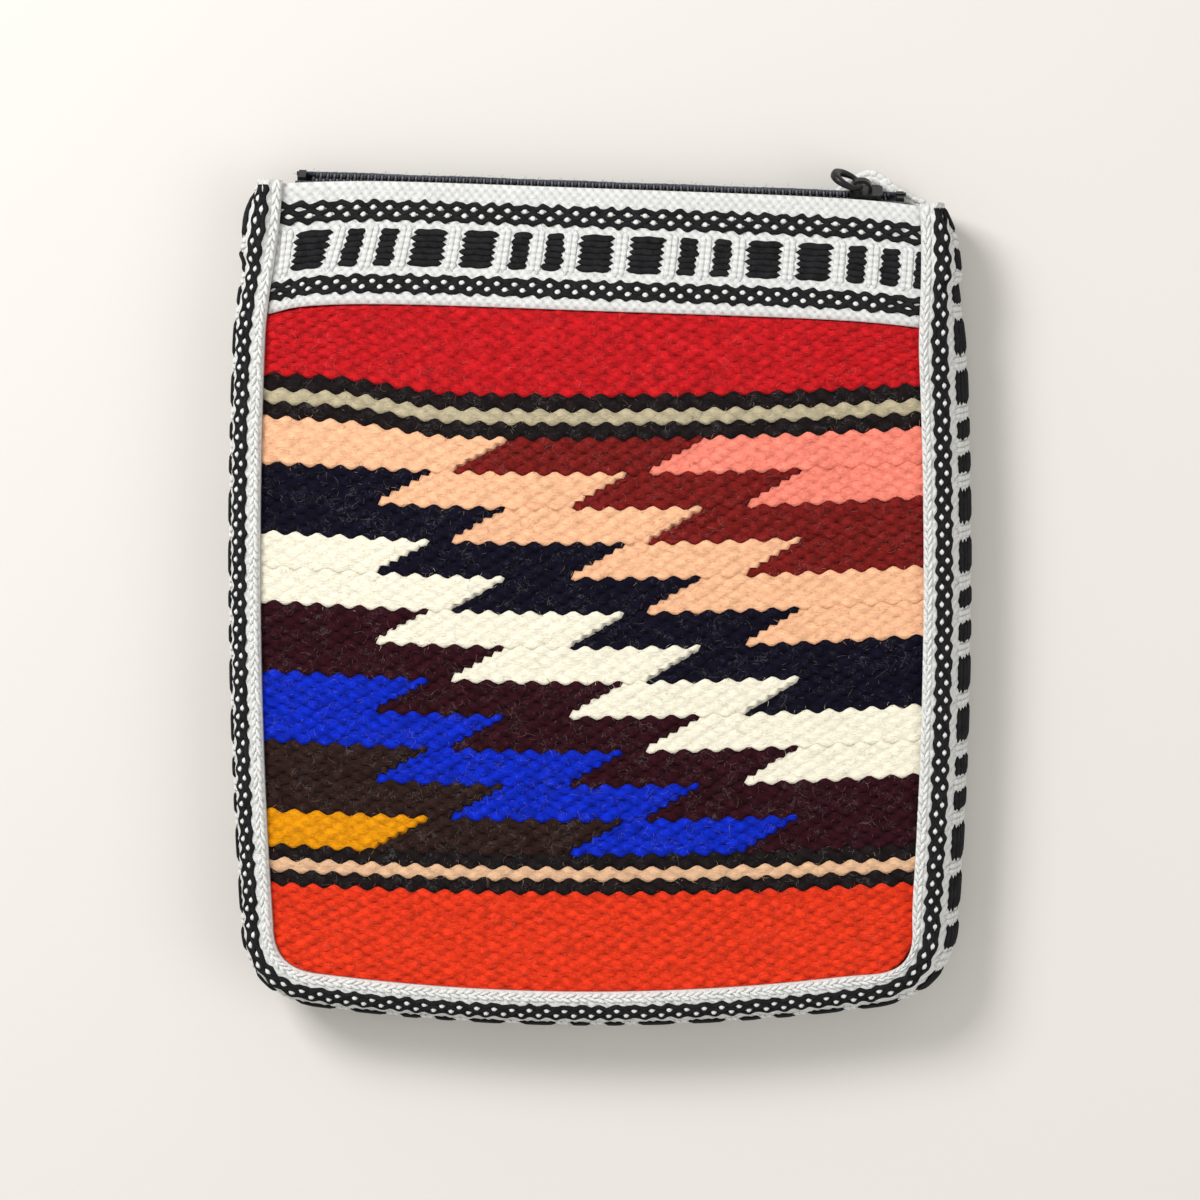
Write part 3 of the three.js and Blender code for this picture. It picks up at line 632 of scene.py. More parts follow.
@dataclass
class Mesher:
    """Gathers points and faces of one piece, and the painted shade of each point, darkest where it lies low
    in its weave.

    Attributes:
        points: Blocks of points in the bag's millimetres.
        painted_shades: For each block, a painted shade from 0, darkest in the grooves, to 1 on top of the
            yarn.
        faces: Faces as lists of point numbers.
        count: How many points there are.
        fuzz_root: How far under the surface a loose fibre starts.
        fuzz_radius: Radius of a loose fibre at its start.
    """

    points: list[Array] = field(default_factory=list)
    # Painted shade of the points, darkest in the grooves of the weave.
    painted_shades: list[Array] = field(default_factory=list)
    faces: list[Sequence[int]] = field(default_factory=list)
    count: int = 0
    fuzz_root: float = 0.15
    fuzz_radius: float = 0.05

    def take(self, block: Array, crown: Array) -> Array:
        """Adds points.

        Args:
            block: Points, in any shape.
            crown: Their painted shade.

        Returns:
            Their numbers, in the block's shape.
        """
        flat = block.reshape(-1, 3)
        self.points.append(flat)
        self.painted_shades.append(np.broadcast_to(crown, block.shape[:-1]).reshape(-1))
        numbers = np.arange(self.count, self.count + len(flat)).reshape(block.shape[:-1])
        self.count += len(flat)
        return numbers

    def quads(self, numbers: Array) -> None:
        """Adds the faces of a grid.

        Args:
            numbers: Point numbers of the grid.
        """
        a, b = numbers[:-1, :-1], numbers[1:, :-1]
        c, d = numbers[1:, 1:], numbers[:-1, 1:]
        self.faces.extend(np.stack([a, b, c, d], axis=-1).reshape(-1, 4).tolist())

    def shell(self, top: Array, bottom: Array, crown: Array) -> None:
        """Adds a closed sheet.

        Args:
            top: Grid of points of the outer face.
            bottom: Grid of points of the inner face, as long as top and any width.
            crown: Painted shade of each point of top.
        """
        outer = self.take(top, crown)
        inner = self.take(bottom, np.zeros(bottom.shape[:-1]))
        self.quads(outer)
        self.quads(inner[:, ::-1])
        self.quads(np.stack([inner[:, 0], outer[:, 0]], axis=1))
        self.quads(np.stack([outer[:, -1], inner[:, -1]], axis=1))
        self.faces.append([*outer[0, :].tolist(), *inner[0, ::-1].tolist()])
        self.faces.append([*inner[-1, :].tolist(), *outer[-1, ::-1].tolist()])

    def tubes(self, rings: Array, crown: Array) -> None:
        """Adds closed tubes.

        Args:
            rings: Points as tubes by rings by sides.
            crown: Painted shade of the points.
        """
        for tube, level in zip(rings, np.broadcast_to(crown, rings.shape[:-1])):
            found = self.take(tube, level)
            self.quads(np.concatenate([found, found[:, :1]], axis=1))
            self.faces.append(found[0, :].tolist())
            self.faces.append(found[-1, ::-1].tolist())

    def fuzz(self, surface: Array, count: int, draw: np.random.Generator, length: float = 1.8) -> None:
        """Adds short loose fibres that start at points of a surface and lie close to it.

        Args:
            surface: Points of the surface.
            count: How many fibres to add.
            draw: Source of chance.
            length: Greatest length of a fibre.
        """
        if count < 1:
            return
        roots = surface.reshape(-1, 3)[draw.integers(0, surface[..., 0].size, count)]
        each = (count, 1)
        steps = np.linspace(0.0, 1.0, 3)
        heading = draw.uniform(0.0, 2.0 * math.pi, each) + draw.normal(0.0, 0.9, each) * steps
        reach = draw.uniform(0.45, 1.0, each) * length / 2.0
        x = roots[:, :1] + np.cumsum(np.cos(heading) * reach, axis=1)
        y = roots[:, 1:2] + np.cumsum(np.sin(heading) * reach, axis=1)
        arch = np.sin(math.pi * (0.1 + 0.9 * steps))
        z = roots[:, 2:] - self.fuzz_root + draw.uniform(0.25, 0.75, each) * arch
        rings = hair_rings(x, y, z, heading, self.fuzz_radius * (1.0 - 0.6 * steps))
        self.tubes(rings, draw.uniform(0.3, 1.0, (count, 1, 1)))

    def piece(self, name: str, look: Finish, slot: str, body: Body = Body.BAG,
              nodes: Names = ()) -> Piece:
        """Makes the gathered mesh a piece.

        Args:
            name: Name of the piece.
            look: Its finish.
            slot: Not used.
            body: The body that it rides on.
            nodes: The solids that it stands for.

        Returns:
            The new object.
        """
        mesh = bpy.data.meshes.new(name)
        points = to_frame(np.concatenate(self.points))
        mesh.from_pydata(points.tolist(), [], self.faces)
        # The painted shade goes into a point attribute that the yarn's material reads.
        crown = mesh.attributes.new(SHADE_ATTRIBUTE, "FLOAT", "POINT")
        crown.data.foreach_set("value", np.concatenate(self.painted_shades).astype(np.float32))
        mesh.polygons.foreach_set("use_smooth", np.ones(len(mesh.polygons), dtype=bool))
        mesh.materials.append(look.material())
        mesh.validate()
        mesh.update()
        made = bpy.data.objects.new(name, mesh)
        bpy.context.scene.collection.objects.link(made)
        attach(made, body.value)
        if nodes:
            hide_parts(*nodes)
        LOG.info("%s: %d faces", name, len(mesh.polygons))
        return made


def lens(along: Array, row: Array, part: Array, pitch: float, wander: float = 0.0,
         depth: float = 0.5, twill: float = 1.0) -> tuple[Array, Array, Array]:
    """Shape of interlaced rows of yarn, each fat where it passes over and thin where it passes under.

    Args:
        along: Distance along the rows.
        row: Number of the row.
        part: Place across the row, from 0 to 1.
        pitch: Distance between the places where one row passes over.
        wander: How far those places stray from their even spacing.
        depth: Depth of the pits where a row passes under.
        twill: How far each row is set over from the one above, in half pitches.

    Returns:
        The shift of each point across the rows, in half rows, its height and its shade, both from 0 to 1.
    """
    def edge(line: Array) -> Array:
        """Wave of the edge between two rows."""
        drift = wander * sum(np.sin(turn * line + along * rate) for turn, rate in ROW_DRIFT)
        return np.cos(math.pi * (2.0 * (along + drift) / pitch + twill * line))

    upper, lower = edge(row), edge(row + 1)
    fat = 0.5 - 0.25 * (upper - lower)
    swell = np.sqrt(np.clip(4.0 * part * (1.0 - part), 0.0, 1.0))
    pit = (1.0 - fat) ** 3 * swell
    height = 0.5 + 0.5 * fat * swell - depth * pit
    shade = TOP_SHADE - SIDE_SHADE * (1.0 - fat * swell) - depth * pit
    return mix(upper, lower, part), height, shade


# Tapestry


@dataclass(frozen=True)
class WoolColour:
    """One colour of weft, with the solid and the record's slot that it belongs to."""

    name: str
    code: str
    node: str
    slot: str

    @property
    def pale(self) -> float:
        """How pale the colour is to the eye, from 0 for black to 1 for white."""
        red, green, blue = linear(self.code)
        return math.sqrt(0.21 * red + 0.72 * green + 0.07 * blue)

    def between(self, dark: float, light: float) -> float:
        """Goes from one number for black wool to another for white wool."""
        return mix(dark, light, self.pale)

    def finish(self) -> YarnFinish:
        """Finish of the yarn, whose painted groove shade, mottling and hairs show more the darker it is."""
        return YarnFinish(
            f"wool_{self.code}", self.code, groove_shade=self.between(0.3, 0.76), tip=self.between(0.22, 0.1),
            uneven=self.between(0.42, 0.06), streak=0.45, hair=max(0.0, self.between(0.24, -0.26)))


def both_sides(half: Line) -> tuple[Line, Line]:
    """Edges of an area that is as wide to the left as to the right.

    Args:
        half: Half of the width, by the share of the height.

    Returns:
        Left and right edge.
    """
    def left(share: Array) -> Array:
        """Left edge at a share of the height."""
        return -half(share)
    return left, half


@dataclass
class Tapestry:
    """The wool front: rows of weft that pass over and under the warps, in fields of colour.

    The fields are sizes in millimetres. A pair is for black wool and for white wool, with the rest between.
    """

    form: BagForm
    bump_pitch: float = 5.87
    twill: float = 0.84
    pick: float = 1.56
    swing: float = 0.41
    relief: Pair = (1.265, 0.715)
    pit: Pair = (0.48, 0.12)
    peak: float = 0.22
    wander: float = 0.3
    fuzz: Pair = (0.442, 0.156)
    fibre_radius: float = 0.026
    fibre_reach: Triple = (82.0, 0.0, 175.0)
    fibre_length: Pair = (1.4, 4.6)
    fibre_lift: Pair = (0.2, 0.9)
    fibre_curl: float = 0.9
    tuck: float = 2.3
    tuck_from: float = 1.0
    tuck_reach: float = 1.2
    thick: float = 1.9
    column: float = 0.97
    parts: int = 3
    red_height: float = 18.3
    upper_stripes: Triple = (4.1, 3.5, 4.1)
    lower_stripes: Triple = (3.7, 3.1, 3.7)
    left_lift: float = 3.0
    lift_end: float = -70.0
    lift_reach: float = 32.0
    rows: int = 12
    row_picks: int = 6
    stripe_picks: int = 2
    orange_height: float = 25.2
    pitch: float = 49.9
    step: float = 19.6
    slant: float = 15.1
    phase: float = 0.8
    warp_offset: float = 1.0
    stepped: float = 0.55
    step_reach: float = 3.0
    blunt: float = 0.2
    row_sag: float = 3.0
    under_band: float = 0.9
    edge_height: float = 0.35
    edge_reach: float = 1.2
    ground_inset: float = 1.0
    ground_corner: float = 9.0
    ground_drop: Pair = (0.2, 0.7)
    warp_rise: float = 0.1
    meshes: dict[str, Mesher] = field(default_factory=dict)
    draw: np.random.Generator = field(default_factory=partial(np.random.default_rng, 3))

    RED = WoolColour("tapestry_red", "c0191f", "weft_red", "wool_red")
    SAGE = WoolColour("tapestry_sage", "b9ad8f", "weft_sage", "wool_sage")
    TAN = WoolColour("tapestry_tan", "e0b590", "weft_tan", "wool_tan")
    ORANGE = WoolColour("tapestry_orange", "e2381b", "weft_orange", "wool_orange")
    BLACKS = tuple(
        WoolColour(f"tapestry_black_{i}", "1d1617", f"weft_black_{i}", "wool_black") for i in range(1, 5))
    LIGHTNING = tuple(
        WoolColour(f"tapestry_{name}", code, f"weft_{i}_{name}", f"wool_{name}")
        for i, (name, code) in enumerate((
            ("coral", "fa8a76"), ("brick", "771b18"), ("peach", "f6bc93"), ("navy", "0f0c1d"),
            ("cream", "f4edd8"), ("plum", "2f0d15"), ("cobalt", "0928bb"), ("brown", "2d1c18"),
            ("amber", "e3930a")), start=1))

    def sag(self, x: Array) -> Array:
        """Dip of a row of weft."""
        return self.row_sag * (1.0 - (2.0 * x / self.form.waist_width) ** 2)

    def level(self, at: float, lifted: float = 0.0) -> Line:
        """Line across the bag that a row of weft follows, lifted at its left end.

        Args:
            at: Height of its ends.
            lifted: How far it is lifted, from 0 to 1.

        Returns:
            Height of the line, by the place across.
        """
        def line(x: Array) -> Array:
            """Height of the line at a place across."""
            lift = lifted * self.left_lift * (1.0 - smooth(x - self.lift_end, self.lift_reach))
            return at - self.sag(x) + lift
        return line

    def columns(self, left: Array, right: Array, across: Array) -> Array:
        """Places of a slanted area's columns, which lean and step less the further they are from its edges.

        Args:
            left: Left edge at each line of the area.
            right: Right edge at each line.
            across: Share of the width at each column.

        Returns:
            Places across, columns by lines.
        """
        share = np.linspace(0.0, 1.0, len(left))
        even = mix(left.mean(), right.mean(), across)
        near = np.minimum(across, 1.0 - across) * (right.mean() - left.mean())
        found = even + 0.0 * left
        for edge, weight in ((left, 1.0 - across), (right, across)):
            straight = mix(edge[0], edge[-1], share)
            steps = (edge - straight) * (1.0 - smooth(near, self.step_reach)) * (weight > 0.5)
            found = found + (straight - edge.mean()) * weight ** 2 + steps
        return found

    def area(self, colour: WoolColour, edges: tuple[Line, Line], levels: tuple[Line, Line], picks: int,
             first: int, under: Line | None = None, leaning: bool = False) -> None:
        """Adds one area of weft to its colour's mesh.

        Args:
            colour: Colour of the area.
            edges: Left and right edge, as functions of the share of the height from the top.
            levels: Upper and lower edge, as functions of the place across.
            picks: Rows of weft in the area.
            first: Number of the first row, counted from the top of the front.
            under: Line across that the area tucks under, if it does.
            leaning: Whether its edges lean and step.
        """
        form = self.form
        line = np.arange(picks * self.parts + 1)
        row = np.minimum(line // self.parts, picks - 1)
        part = (line - row * self.parts) / self.parts
        share = line / (picks * self.parts)
        left, right = edges[0](share), edges[1](share)
        width = float(np.mean(right - left))
        columns = max(3, int(round(width / self.column)))
        across = np.linspace(0.0, 1.0, columns + 1)[:, None]
        x = self.columns(left, right, across) if leaning else mix(left, right, across)
        flat_y = mix(levels[0](x), levels[1](x), share)
        shift, height, shade = lens(x + self.warp_offset, row + first, part, self.bump_pitch, self.wander,
                                    colour.between(*self.pit), self.twill)
        y = flat_y - shift * self.swing * self.pick
        inside = np.minimum(x - left, right - x)
        # Near its edges the area sinks, and its painted shade darkens there too.
        rounded = np.clip(self.edge_height + inside / self.edge_reach, 0.0, 1.0)
        height, shade = height * rounded, shade * rounded
        face = form.front_face(x, y)
        if under:
            face = face - self.tuck * smooth(y - under(x) + self.tuck_from, self.tuck_reach)
        sunk = colour.between(*self.relief) * (1.0 - height)
        top = form.settle(x, y, face + self.peak - sunk)
        under_x, under_y = (np.stack([grid[:, 0], grid[:, -1]], axis=1) for grid in (x, y))
        drop = self.thick + (self.tuck if under else 0.0)
        bottom = form.settle(under_x, under_y, form.front_face(under_x, under_y) - drop)
        maker = self.meshes.setdefault(colour.node, Mesher())
        maker.shell(top, bottom, shade)
        maker.fuzz(top, int(colour.between(*self.fuzz) * width * picks * self.pick), self.draw)

    def full_width(self, top: float, bottom: float) -> tuple[Line, Line]:
        """Edges of an area that runs from seam to seam between two levels.

        Args:
            top: Upper level.
            bottom: Lower level.

        Returns:
            Left and right edge.
        """
        def half(share: Array) -> Array:
            """Half of the width at a share of the height."""
            return self.form.half_width(mix(top, bottom, share)) - self.form.seam_inset
        return both_sides(half)

    def stripes(self, top: float, colours: Sequence[WoolColour], heights: Sequence[float], first: int,
                lifted: float = 0.0) -> int:
        """Adds stripes from a level down.

        Args:
            top: Level of the first stripe's upper edge.
            colours: Colour of each stripe.
            heights: Height of each stripe.
            first: Number of the first row.
            lifted: How far the stripes are lifted at the left, from 0 to 1.

        Returns:
            Number of the next row.
        """
        for colour, height in zip(colours, heights):
            levels = (self.level(top, lifted), self.level(top - height, lifted))
            self.area(colour, self.full_width(top, top - height), levels, self.stripe_picks, first)
            top -= height
            first += self.stripe_picks
        return first

    def crest(self, near: float, row: int, beyond: float) -> float:
        """Place across, nearest to another, that lies a share of a pitch beyond a crest of one row."""
        origin = (beyond - 0.25 - self.twill * (row + 0.5) / 2.0) * self.bump_pitch - self.warp_offset
        return origin + round((near - origin) / self.bump_pitch) * self.bump_pitch

    def slanted(self, mark: float, first: int) -> Line:
        """Edge between two colours, which leans, goes over by a step at each pick and ends at crests.

        Args:
            mark: Place across of its middle.
            first: Number of the row of weft at its top.

        Returns:
            The place across as a function of the share of the height from the top.
        """
        last = self.row_picks - 1
        top = self.crest(mark + self.phase + self.slant / 2.0, first, self.blunt)
        foot = self.crest(mark + self.phase - self.slant / 2.0, first + last, -self.blunt)

        def edge(share: Array) -> Array:
            """Place across at a share of the height."""
            pick = np.minimum(np.floor(share * self.row_picks + 1e-6), last)
            return mix(top, foot, mix(share, pick / last, self.stepped))
        return edge

    def lightning(self, top: float, height: float, first: int) -> int:
        """Adds the rows of lightning.

        Args:
            top: Level of the first row's upper edge.
            height: Height of a row.
            first: Number of the first row of weft.

        Returns:
            Number of the next row of weft.
        """
        for number in range(1, self.rows + 1):
            upper = top - (number - 1) * height
            marks = [self.step - self.pitch, self.step] if number % 2 else [-self.pitch, 0.0, self.pitch]
            ends = self.full_width(upper, upper - height)
            sides = [ends[0], *[self.slanted(mark, first) for mark in marks], ends[1]]
            levels = (self.level(upper, float(number == 1)), self.level(upper - height))
            for place in range(len(marks) + 1):
                colour = self.LIGHTNING[number // 2 + 2 - place]
                self.area(colour, (sides[place], sides[place + 1]), levels, self.row_picks, first,
                          leaning=True)
            first += self.row_picks
        return first

    def band_lower(self, x: Array) -> Array:
        """Lower edge of the front band, which the red field tucks under."""
        return self.form.band_line(x, np.full(np.shape(x), self.form.band_width))

    def red_top(self, x: Array) -> Array:
        """Upper edge of the red field, behind the front band."""
        return self.band_lower(x) + self.under_band

    def orange_bottom(self, x: Array) -> Array:
        """Lower edge of the orange field, at the bottom seam."""
        return self.form.bottom_line(x) + self.form.seam_inset

    def orange_half(self, share: Array) -> Array:
        """Half of the orange field's width, drawn in at the bottom corners.

        Args:
            share: Share of the height from the top.

        Returns:
            Half of the width.
        """
        corner = self.form.foot_corner
        start = 1.0 - corner / self.orange_height
        turned = np.clip((share - start) / (1.0 - start), 0.0, 1.0)
        level = mix(self.orange_height, corner, np.minimum(1.0, share))
        drawn = corner * (1.0 - np.sqrt(1.0 - turned ** 2))
        return self.form.half_width(level) - self.form.seam_inset - drawn

    def build(self) -> list[Piece]:
        """Builds every field of colour.

        Returns:
            The pieces.
        """
        form = self.form
        red_bottom = float(form.mouth_line(0.0) + form.edge[0] - form.band_width - self.red_height)
        light_top = red_bottom - sum(self.upper_stripes)
        light_bottom = self.orange_height + sum(self.lower_stripes)
        drawn = (1.0 - form.band_draw) * form.band_width
        red_picks = int(round((self.red_height + self.row_sag + drawn) / self.pick))
        orange_picks = int(round((self.orange_height + self.row_sag) / self.pick))
        self.area(self.RED, self.full_width(red_bottom + self.red_height, red_bottom),
                  (self.red_top, self.level(red_bottom, 1.0)), red_picks, 0, self.band_lower)
        first = self.stripes(red_bottom, (self.BLACKS[0], self.SAGE, self.BLACKS[1]),
                             self.upper_stripes, red_picks, 1.0)
        first = self.lightning(light_top, (light_top - light_bottom) / self.rows, first)
        first = self.stripes(light_bottom, (self.BLACKS[2], self.TAN, self.BLACKS[3]),
                             self.lower_stripes, first)
        self.area(self.ORANGE, both_sides(self.orange_half),
                  (self.level(self.orange_height), self.orange_bottom), orange_picks, first)
        colours = [self.RED, self.SAGE, self.TAN, self.ORANGE, *self.BLACKS, *self.LIGHTNING]
        return [self.meshes[c.node].piece(c.name, c.finish(), c.slot, nodes=[c.node]) for c in colours]

    def ground(self) -> Piece:
        """Builds the warps as one thin cloth under the weft, which is the cloth as it was cut.


        Returns:
            The cloth of warps.
        """
        form = self.form
        top = float(form.mouth_line(0.0) + form.edge[0] - form.band_width - form.gap)
        u, v = np.meshgrid(np.linspace(-1, 1, 90), np.linspace(0, 1, 24), indexing="ij")
        rise = mix(form.foot_corner, top, v)
        drawn = self.ground_corner * (1.0 - v) ** 12
        x = u * (form.half_width(rise) - form.seam_inset - self.ground_inset - drawn)
        y = mix(form.bottom_line(x) + form.seam_inset + self.ground_inset,
                form.mouth_line(x) + form.edge[0] - form.band_width - form.gap - 0.5, v)
        face = form.front_face(x, y)
        ribs = 0.5 + 0.5 * np.cos(4.0 * math.pi * x / self.bump_pitch)
        maker = Mesher()
        upper, lower = (face - self.thick - drop for drop in self.ground_drop)
        # The ribs also set the painted shade, darker between the warps.
        maker.shell(form.settle(x, y, upper + self.warp_rise * ribs), form.settle(x, y, lower), ribs)
        made = maker.piece("tapestry_warps", WARP_YARN, "wool_cream")
        return made

    def fibres(self, count: int = 800) -> Piece:
        """Builds the loose fibres that stand off the wool.

        Args:
            count: How many there are.

        Returns:
            The piece.
        """
        form = self.form
        draw = np.random.default_rng(7)
        maker = Mesher()
        steps = np.linspace(0.0, 1.0, 5)
        reach, low, high = self.fibre_reach
        for _ in range(count):
            x, y = draw.uniform(-reach, reach), draw.uniform(low + 2.0, high - 3.0)
            start, curl = draw.uniform(0.0, 2.0 * math.pi), draw.normal(0.0, self.fibre_curl)
            length, lift = draw.uniform(*self.fibre_length), draw.uniform(*self.fibre_lift)
            heading = start + curl * steps * length / 2.0
            x = np.clip(x + np.cumsum(np.cos(heading)) * length / len(steps), -reach - 2.0, reach + 2.0)
            y = np.clip(y + np.cumsum(np.sin(heading)) * length / len(steps), low, high)
            z = form.front_face(x, y) + 0.1 + lift * np.sin(math.pi * steps)
            rings = hair_rings(x, y, z, heading, self.fibre_radius * (1.0 - 0.5 * steps))
            maker.tubes(form.settle(*np.moveaxis(rings, -1, 0))[None], 1.0)
        return maker.piece("wool_fibres", LOOSE_WOOL, "wool_cream")


# Bands


@dataclass
class BandPattern:
    """Sizes of the black and white band's weave, in millimetres, and shares of them."""

    wide: float = 9.0
    narrow: float = 4.6
    space: float = 4.55
    lead: float = 2.0
    height: float = 9.6
    chain_offset: float = 9.8
    chain_pitch: float = 4.7
    chain_rise: float = 1.85
    chain_wave: float = 0.42
    chain_middle: float = 0.6
    chain_wander: Waves = ((0.12, 1.7), (0.1, 0.53))
    strand_width: float = 0.95
    strand_mean: float = 0.92
    strand_uneven: Waves = ((0.1, 2.9),)
    strand_lift: float = 0.55
    strand_sink: float = 0.12
    strand_out: float = 0.25
    knot: float = 0.78
    knot_row: float = 0.95
    knot_out: float = 0.36
    knot_length: float = 2.1
    knot_lift: float = 0.8
    pick: float = 1.64
    float_lift: float = 0.62
    float_out: float = 0.2
    float_half: float = 0.6
    float_bow: float = 0.12
    bow_rate: float = 1.3
    ragged: Pair = (0.1, 0.75)
    ragged_starts: Pair = (1.0, 0.3)
    ragged_stops: Pair = (0.4, 1.0)
    stitch_pitch: float = 2.6
    stitch_row: float = 1.25
    stitch_relief: float = 0.5
    stitch_wander: float = 0.12
    stitch_pit: float = 0.28
    stitch_swing: float = 0.15
    rib_width: float = 0.78
    rib_out: float = 0.12
    rib_over: float = 2.6
    rib_waist: float = 0.78
    rib_knot: float = 0.22
    rib_taper: float = 12.0
    rib_half: float = 1.2
    rib_lift: float = 0.5
    rib_shade: Pair = (1.6, 0.9)
    edge_round: float = 1.2
    edge_least: float = 0.25


@dataclass(frozen=True)
class Grade:
    """How finely a band is meshed.

    Attributes:
        cell: Size of the white cloth's mesh along the band.
        parts: Lines of that mesh in each row of stitches.
        rings: Rings of a black strand in each of its waves or blocks.
        sides: Points in each of those rings.
        rib: Rings and sides of a rib.
        knot: Rings and sides of a knot.
    """

    cell: float
    parts: int
    rings: int
    sides: int
    rib: tuple[int, int]
    knot: tuple[int, int]


FACING = Grade(cell=0.6, parts=3, rings=9, sides=6, rib=(27, 6), knot=(5, 6))
BESIDE = Grade(cell=1.05, parts=2, rings=7, sides=5, rib=(22, 5), knot=(4, 5))
UNDER = Grade(cell=2.6, parts=2, rings=4, sides=3, rib=(6, 4), knot=(3, 4))


@dataclass
class Band:
    """One length of the patterned band, laid by a function of the places along, across and out of it.

    Attributes:
        name: First word of its pieces' names.
        place: Gives points for distances along, across and out of the band's middle.
        start: Where it starts along.
        end: Where it ends.
        width: Its width.
        middle: Place across of the middle of its blocks.
        thick: Its thickness.
        shown: Where the pattern starts and ends along.
        grade: How finely it is meshed.
        faces: Which faces carry the pattern, 1 for outer and -1 for inner.
        spread: Widths of the two chains against the pattern's.
        tuck: How far the chains run on past the shown part.
    """

    name: str
    place: Place
    start: float
    end: float
    width: float
    middle: float
    thick: float
    shown: Pair
    grade: Grade = FACING
    faces: tuple[int, ...] = (1,)
    spread: Pair = (1.0, 1.0)
    tuck: float = 0.0
    pattern: BandPattern = field(default_factory=BandPattern)

    def spans(self) -> list[Pair]:
        """Ends of the black blocks along the band.

        Returns:
            Start and end of each block.
        """
        p = self.pattern
        sizes = (p.wide, p.narrow, p.narrow, p.wide)
        found = []
        at = self.shown[0] + p.lead
        while at < self.shown[1] + self.tuck - 1.0:
            size = sizes[len(found) % 4]
            found.append((at, min(at + size, self.shown[1] + self.tuck)))
            at += size + p.space
        return found

    def strip(self, along: Array, across: Array, half: Array, lift: Array, out: float, sides: int,
              turned: bool = False) -> Array:
        """Rings of flat yarns that lie on the band.

        Args:
            along: Places along the band, yarns by rings.
            across: Places across it, yarns by rings.
            half: Half of each ring's width.
            lift: Half of each ring's height.
            out: Distance of the yarns' middles out of the band, with its sign.
            sides: Points in each ring.
            turned: Whether the yarns run across the band and not along it.

        Returns:
            Points as yarns by rings by sides.
        """
        angle = ring_angles(sides)
        spread = half[..., None] * np.cos(angle)
        height = out + math.copysign(1.0, out) * lift[..., None] * np.sin(angle)
        if turned:
            return self.place(along[..., None] + spread, across[..., None] + 0.0 * spread, height)
        return self.place(along[..., None] + 0.0 * spread, across[..., None] + spread, height)

    def cloth(self, nodes: Names) -> Piece:
        """Builds the white cloth with its stitches and the ribs between the blocks.

        Args:
            nodes: Solids that the piece stands for.

        Returns:
            The white cloth.
        """
        p = self.pattern
        maker = Mesher()
        rows = int(round(self.width / p.stitch_row))
        parts = self.grade.parts
        line = np.arange(rows * parts + 1)
        row = np.minimum(line // parts, rows - 1)
        part = (line - row * parts) / parts
        along = np.linspace(self.start, self.end, int((self.end - self.start) / self.grade.cell) + 1)[:, None]
        shift, height, shade = lens(along, row, part, p.stitch_pitch, p.stitch_wander, p.stitch_pit)
        inner_rows = p.stitch_swing * np.minimum(1.0, np.minimum(line, line[-1] - line) / 2.0)
        across = line / line[-1] * self.width + shift * inner_rows * p.stitch_row
        rim = np.clip(np.minimum(across, self.width - across) / p.edge_round, p.edge_least, 1.0)
        relief = p.stitch_relief * (height - 0.5)
        face = self.thick / 2.0 * rim
        full = along + 0.0 * across
        top = self.place(full, across, face + relief)
        if -1 in self.faces:
            maker.shell(top, self.place(full, across, -face - relief), shade)
        else:
            coarse = np.linspace(0.0, self.width, 13)[None, :]
            flat = 0.0 * (along + coarse)
            maker.shell(top, self.place(along + flat, coarse + flat, flat - self.thick / 2.0), shade)
        for side in self.faces:
            self.ribs(maker, side)
            for offset, spread in zip((-p.chain_offset, p.chain_offset), self.spread):
                self.knots(maker, side, offset, spread)
        return maker.piece(f"{self.name}_white", WHITE_YARN, "band_white", nodes=nodes)

    def ribs(self, maker: Mesher, side: int) -> None:
        """Adds the white ribs that stand between the blocks on one face.

        Args:
            maker: Mesh that they go into.
            side: 1 for the outer face and -1 for the inner one.
        """
        p = self.pattern
        spans = self.spans()
        gaps = [(a[1] + b[0]) / 2.0 for a, b in zip(spans[:-1], spans[1:])]
        gaps = [spans[0][0] - p.space / 2.0, *gaps, spans[-1][1] + p.space / 2.0]
        middles = np.array([g + s * p.rib_width for g in gaps for s in (-1.0, 1.0)])
        rings, sides = self.grade.rib
        t = np.linspace(0.0, 1.0, rings)
        across = self.middle + (t - 0.5) * (p.height + p.rib_over)
        knots = p.rib_waist + p.rib_knot * np.abs(np.sin(math.pi * across / p.pick))
        ends = np.clip(np.minimum(t, 1.0 - t) * p.rib_taper, p.edge_least, 1.0)
        along, across = np.broadcast_arrays(middles[:, None], across)
        half = np.broadcast_to(p.rib_half * p.rib_width * knots * ends, along.shape)
        lift = np.broadcast_to(p.rib_lift * knots * ends, along.shape)
        out = side * (self.thick / 2.0 + p.rib_out)
        made = self.strip(along, across, half, lift, out, sides, turned=True)
        maker.tubes(made, (knots * p.rib_shade[0] - p.rib_shade[1])[None, :, None])

    def knots(self, maker: Mesher, side: int, offset: float, spread: float) -> None:
        """Adds the white knots that show between the black strands of one chain on one face.

        Args:
            maker: Mesh that they go into.
            side: 1 for the outer face and -1 for the inner one.
            offset: Place across of the chain's middle, from the middle of the blocks.
            spread: Width of the chain against the pattern's.
        """
        p = self.pattern
        rings, sides = self.grade.knot
        t = np.linspace(0.0, 1.0, rings)
        first = math.ceil(self.shown[0] / p.chain_pitch)
        stop = math.floor(self.shown[1] / p.chain_pitch)
        waves = np.arange(first, stop) * p.chain_pitch
        out = side * (self.thick / 2.0 + p.knot_out)
        for row, start in ((p.knot_row, 0.0), (-p.knot_row, p.chain_pitch / 2.0)):
            along = (waves + start)[:, None] + (t - 0.5) * p.knot_length * p.knot
            across = np.full(along.shape, self.middle + offset + spread * row)
            half = np.broadcast_to(p.knot * swelling(t, 2, 0.1), along.shape)
            made = self.strip(along, across, half, p.knot_lift * half, out, sides)
            maker.tubes(made, lit(ring_angles(sides), 0.6))

